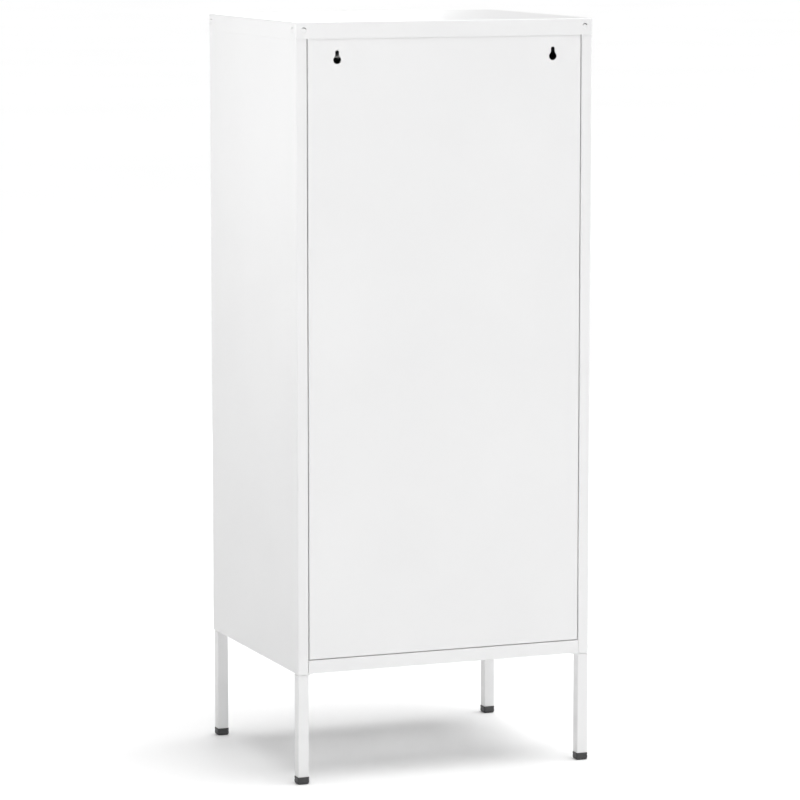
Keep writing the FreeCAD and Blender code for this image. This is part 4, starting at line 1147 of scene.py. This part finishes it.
def nut_set(kind, places, flats, bore):
    """Upright nuts on the axes of their screws, at the height of their node."""
    box = Box(f"{kind}s")
    template = nut(Vector(), Z_AXIS, flats, box.size.z, bore)
    placements = [aimed(Vector((place.x, place.y, box.low.z)), Z_AXIS) for place in places]
    stamped_piece(f"{kind}_set", f"{kind}s", template, placements)


def upright_fixings():
    """Leg bolts, floor screws and cap studs with their nuts."""
    bolt = (LEG_BOLT_HEAD_RADIUS, LEG_BOLT_HEAD, LEG_BOLT_RADIUS)
    floor_screw = (SCREW_HEAD_RADIUS, SCREW_HEAD, SCREW_RADIUS)
    for kind, nuts, sizes, pitch, flats in (
        ("leg_bolt", "leg_nut", bolt, LEG_BOLT_PITCH, LEG_NUT_FLATS),
        ("floor_screw", "floor_nut", floor_screw, SCREW_PITCH, SCREW_NUT_FLATS),
    ):
        head_radius, head_height, radius = sizes
        box = Box(f"{kind}s")
        seat = box.low.z + head_height
        places = corner_places(box, head_radius, seat)
        template = screw(*sizes, box.high.z - seat, pitch)
        placements = [aimed(place, Z_AXIS) for place in places]
        stamped_piece(f"{kind}_set", f"{kind}s", template, placements)
        nut_set(nuts, places, flats, radius)

    box = Box("cap_studs")
    places = corner_places(box, STUD_RADIUS, box.high.z)
    profile = [(STUD_RADIUS, box.size.z * share) for share in shares(STUD_STEPS)[:-1]]
    profile += [(STUD_RADIUS * 0.75, box.size.z)]
    shape = bmesh.new()
    for place in places:
        rule = threaded(SCREW_PITCH, STUD_THREAD_DEPTH)
        add_solid(shape, turned(place, -Z_AXIS, profile, 32, rule))
    make_piece("cap_stud_set", shape, "cap_studs")
    nut_set("cap_nut", places, STUD_NUT_FLATS, STUD_RADIUS)


def back_fixings():
    """The screws and nuts that join the back panel to the sides."""
    box = Box("back_panel_screws")
    seat = Box("back_panel").high.x - SHEET
    nut_x = Box("back_panel_nuts").high.x - SCREW_NUT
    heights = (box.low.z + SCREW_HEAD_RADIUS, box.middle.z, box.high.z - SCREW_HEAD_RADIUS)
    screws = []
    nuts = []
    for side in (-1, 1):
        for z in heights:
            for placements, x in ((screws, seat), (nuts, nut_x)):
                placements.append(aimed(Vector((side * x, box.middle.y, z)), side * X_AXIS))
    template = screw(SCREW_HEAD_RADIUS, SCREW_HEAD, SCREW_RADIUS, box.high.x - seat, SCREW_PITCH)
    stamped_piece("back_screw_set", "back_panel_screws", template, screws)
    template = nut(Vector(), Z_AXIS, SCREW_NUT_FLATS, SCREW_NUT, SCREW_RADIUS)
    stamped_piece("back_nut_set", "back_panel_nuts", template, nuts)


def hinge_set(tier):
    """Headed hinge pins in the frame and the flanged bushes that turn on them."""
    pin = Box(f"{tier}_hinge_pins")
    bush = Box(f"{tier}_hinge_bushes")
    x = pin.middle.x
    y = pin.middle.y
    head = pin.size.x / 2
    flange = bush.size.x / 2
    bore = PIN_RADIUS + PIN_CLEARANCE
    tall = BUSH_FLANGE + BUSH_LENGTH
    length = PIN_HEAD + SHEET + DOOR_GAP + PIN_REACH
    pin_profile = [(head - 0.6, 0), (head - 0.15, 0.2), (head, 0.6), (head, PIN_HEAD)]
    pin_profile += [(PIN_RADIUS, PIN_HEAD), (PIN_RADIUS, length - 0.7)]
    pin_profile += [(PIN_RADIUS - 0.25, length - 0.2), (PIN_RADIUS - 0.7, length)]
    bush_profile = [(bore, 0.3), (bore + 0.3, 0), (flange - 0.3, 0), (flange, 0.3)]
    bush_profile += [(flange, BUSH_FLANGE), (BUSH_RADIUS, BUSH_FLANGE)]
    bush_profile += [(BUSH_RADIUS, tall - 0.4), (BUSH_RADIUS - 0.3, tall), (bore, tall)]
    pins = bmesh.new()
    bushes = bmesh.new()
    for pin_z, bush_z, inward in ((pin.low.z, bush.low.z, 1), (pin.high.z, bush.high.z, -1)):
        direction = inward * Z_AXIS
        add_solid(pins, turned(Vector((x, y, pin_z)), direction, pin_profile, 36))
        add_hollow(bushes, turned(Vector((x, y, bush_z)), direction, bush_profile, 36))
    make_piece(f"{tier}_pivot_pins", pins, f"{tier}_hinge_pins")
    make_piece(f"{tier}_pivot_bushes", bushes, f"{tier}_hinge_bushes")


def cam_fixing(tier):
    """The screw that holds the cam on the plug."""
    box = Box(f"{tier}_cam_screw")
    seat = box.high.y - CAM_SCREW_HEAD
    place = Vector((box.middle.x, seat, box.middle.z))
    template = screw(
        box.size.x / 2, CAM_SCREW_HEAD, CAM_SCREW_RADIUS, seat - box.low.y, SCREW_PITCH
    )
    placements = [aimed(place, -Y_AXIS)]
    stamped_piece(f"{tier}_cam_fixing", f"{tier}_cam_screw", template, placements)


def bumpers():
    """Soft domes on the stop lips."""
    box = Box("stop_bumpers")
    radius = box.size.x / 2
    tall = box.size.y
    profile = [(radius - 0.15, 0), (radius, 0.2), (radius, tall * 0.45)]
    for a, b in arc(1, 20, 90, 7):
        profile.append((radius * (0.35 + 0.65 * a), tall * (0.45 + 0.55 * b)))
    shape = bmesh.new()
    for tier in reversed(TIERS):
        pins = Box(f"{tier}_hinge_pins")
        inset = PIN_HEAD + SHEET + BUMPER_INSET
        for z in (pins.low.z + inset, pins.high.z - inset):
            add_solid(shape, turned(Vector((box.middle.x, box.high.y, z)), -Y_AXIS, profile, 32))
    make_piece("bumper_set", shape, "stop_bumpers")


# ---- legs and feet
def foot(name):
    """A moulded cap with soft corners, a grip groove and the pocket that the tube stands in."""
    box = Box(f"{name}_foot")
    tall = box.size.z
    section = [(FOOT_SOLE, 0.0)] + arc(FOOT_SOLE, 250, 180, 6, (FOOT_SOLE, FOOT_SOLE))
    section += [(0.0, tall * 0.55), (0.25, tall * 0.6), (0.25, tall * 0.68), (0.0, tall * 0.73)]
    section += [(0.05, tall - 0.4), (0.4, tall), (FOOT_WALL - 0.1, tall)]
    section += [(FOOT_WALL + 0.05, tall - 0.3), (FOOT_WALL + 0.1, FOOT_FLOOR)]
    rings = []
    for inset, rise in section:
        side = box.size.x - 2 * inset
        radius = max(FOOT_CORNER - inset, LEG_EDGE)
        rings.append(level_ring(box.middle.x, box.middle.y, side, side, radius, box.low.z + rise))
    shape = solid(rings)
    make_piece(f"{name}_foot_cap", shape, f"{name}_foot")


def leg(name, side, end):
    """A square tube, the plate that it is welded to, and the weld beads between them."""
    box = Box(f"{name}_leg")
    x, y, _ = Box(f"{name}_foot").middle
    plate_z = box.high.z - LEG_PLATE
    bore = LEG_TUBE - 2 * LEG_WALL
    shape = bmesh.new()
    add_hollow(shape, [
        level_ring(x, y, width, width, radius, z, LEG_STEPS)
        for width, radius, z in (
            (LEG_TUBE, LEG_EDGE, box.low.z), (LEG_TUBE, LEG_EDGE, plate_z),
            (bore, LEG_EDGE / 2, plate_z), (bore, LEG_EDGE / 2, box.low.z),
        )
    ])
    in_x = -side * X_AXIS
    in_y = -end * Y_AXIS
    root = Vector((x, y, plate_z))
    corner = root - (in_x + in_y) * LEG_TUBE / 2
    outline = [
        corner + in_x * a + in_y * b for a, b in (
            (PLATE_SETBACK, PLATE_SETBACK), (LEG_TUBE, PLATE_SETBACK),
            (PLATE_REACH, PLATE_SHOULDER), (PLATE_REACH, PLATE_REACH),
            (PLATE_SHOULDER, PLATE_REACH), (PLATE_SETBACK, LEG_TUBE),
        )
    ]
    hole = circle(corner + (in_x + in_y) * LEG_BOLT_INSET, Z_AXIS, LEG_BOLT_RADIUS, 28)
    flat = plate(rounded_outline(outline, PLATE_CORNER), [hole], LEG_PLATE * Z_AXIS)
    softened(flat, PLATE_EDGE)
    stamp(shape, flat)
    add_weld(shape, root, X_AXIS, in_y)
    add_weld(shape, root, Y_AXIS, in_x)
    make_piece(f"{name}_leg_weldment", shape, f"{name}_leg")


def rounded_outline(points, radius):
    """An outline with its corners cut round."""
    rounded = []
    for index, point in enumerate(points):
        to_last = points[index - 1] - point
        to_next = points[(index + 1) % len(points)] - point
        trim = min(radius, to_last.length / 3, to_next.length / 3)
        start = point + to_last.normalized() * trim
        finish = point + to_next.normalized() * trim
        for share in shares(4):
            rest = 1 - share
            rounded.append(start * rest ** 2 + point * 2 * share * rest + finish * share ** 2)
    return rounded


def add_weld(shape, root, along, inward):
    """A rippled fillet weld along one inner face of a tube, under the plate."""
    half = LEG_TUBE / 2 - LEG_EDGE
    rings = []
    for share in shares(4 * WELD_RIPPLES):
        ripple = WELD_CREST * math.cos(math.tau * share * WELD_RIPPLES)
        size = WELD_SIZE * (1 - WELD_CREST + ripple) * min(1.0, 0.3 + 6 * min(share, 1 - share))
        section = [(-WELD_ROOT, WELD_ROOT), (size, WELD_ROOT)]
        section += arc(WELD_HOLLOW * size, 100, 160, 3, (size, -size))
        section += [(-WELD_ROOT, -size)]
        center = root + along * half * (2 * share - 1) + inward * LEG_TUBE / 2
        rings.append([center + inward * out + Z_AXIS * rise for out, rise in section])
    add_solid(shape, rings)


def make_pieces():
    """Every piece that replaces a CAD node."""
    for tier in TIERS:
        for make in (
            door_panel, pull_cup, stiffener, card_holder, blank_card, rivets, lock_case, lock_nut,
            lock_core, flat_key, latch_cam, cam_fixing, hinge_set,
        ):
            make(tier)
    carcass_sheets()
    upright_fixings()
    back_fixings()
    bumpers()
    for end_name, end in (("front", -1), ("rear", 1)):
        for side_name, side in (("left", -1), ("right", 1)):
            foot(f"{end_name}_{side_name}")
            leg(f"{end_name}_{side_name}", side, end)


# ---- studio
def make_floor():
    """A plain pale floor that reaches past the horizon of every view."""
    shape = bmesh.new()
    bmesh.ops.create_circle(shape, cap_ends=True, radius=FLOOR_RADIUS, segments=96)
    floor = linked("floor", mesh_of(shape, "floor"))
    shape.free()
    paint = Paint("floor")
    cloud = paint.noise(0.8, 3.0)
    paint.set("Base Color", paint.blended(cloud, (0.965, 0.965, 0.965), (0.98, 0.98, 0.98)))
    paint.set("Roughness", 0.8)
    paint.set("Specular IOR Level", 0.2)
    floor.data.materials.append(paint.material)


def make_world():
    """A dim surround with a white horizon."""
    world = bpy.data.worlds.new("studio")
    world.use_nodes = True
    nodes = world.node_tree.nodes
    links = world.node_tree.links
    place = nodes.new("ShaderNodeTexCoord")
    split = nodes.new("ShaderNodeSeparateXYZ")
    links.new(place.outputs["Generated"], split.inputs["Vector"])
    height = split.outputs["Z"]
    fade = mapped(nodes, links, height, (HORIZON_LOW, HORIZON_HIGH), (1.0, SURROUND))
    fade.interpolation_type = "SMOOTHSTEP"
    links.new(fade.outputs["Result"], nodes["Background"].inputs["Strength"])
    nodes["Background"].inputs["Color"].default_value = (1.0, 1.0, 1.0, 1.0)
    bpy.context.scene.world = world


def posed(name, data, turn, place=(0, 0, 0)):
    """A light or camera, turned and placed in the scene."""
    item = linked(name, data)
    item.location = place
    item.rotation_mode = "QUATERNION"
    item.rotation_quaternion = turn
    return item


def make_lights():
    """A wide soft sky light, and square softboxes aimed at points."""
    sky = bpy.data.lights.new("sky_light", "SUN")
    sky.energy = SKY_STRENGTH
    sky.angle = SKY_SPREAD
    posed("sky_light", sky, SKY_FROM.to_track_quat("Z", "Y"))
    for name, place, target, size, power in SOFTBOXES:
        light = bpy.data.lights.new(name, "AREA")
        light.shape = "SQUARE"
        light.size = size
        light.energy = power
        posed(name, light, (target - place).to_track_quat("-Z", "Y"), place)


def make_camera():
    """The camera at the reference view, with no shift."""
    level = math.cos(CAMERA_ELEVATION)
    back = Vector((
        math.sin(CAMERA_AZIMUTH) * level, -math.cos(CAMERA_AZIMUTH) * level,
        math.sin(CAMERA_ELEVATION),
    ))
    turn = (-back).to_track_quat("-Z", "Y")
    middle = Vector((0.0, 0.0, (cad_low.z + cad_high.z) / 2))
    target = middle + turn @ X_AXIS * CAMERA_SIDEWAYS + turn @ Y_AXIS * CAMERA_RAISE
    data = bpy.data.cameras.new("camera")
    data.lens = CAMERA_LENS
    data.sensor_width = SENSOR_WIDTH
    bpy.context.scene.camera = posed("camera", data, turn, target + back * CAMERA_DISTANCE)


def main():
    """Build the pieces and the studio around the CAD frame."""
    finish_cad_nodes()
    make_pieces()
    make_floor()
    make_world()
    make_lights()
    make_camera()
    bpy.context.scene.view_settings.view_transform = "Standard"


materials = make_materials()
main()
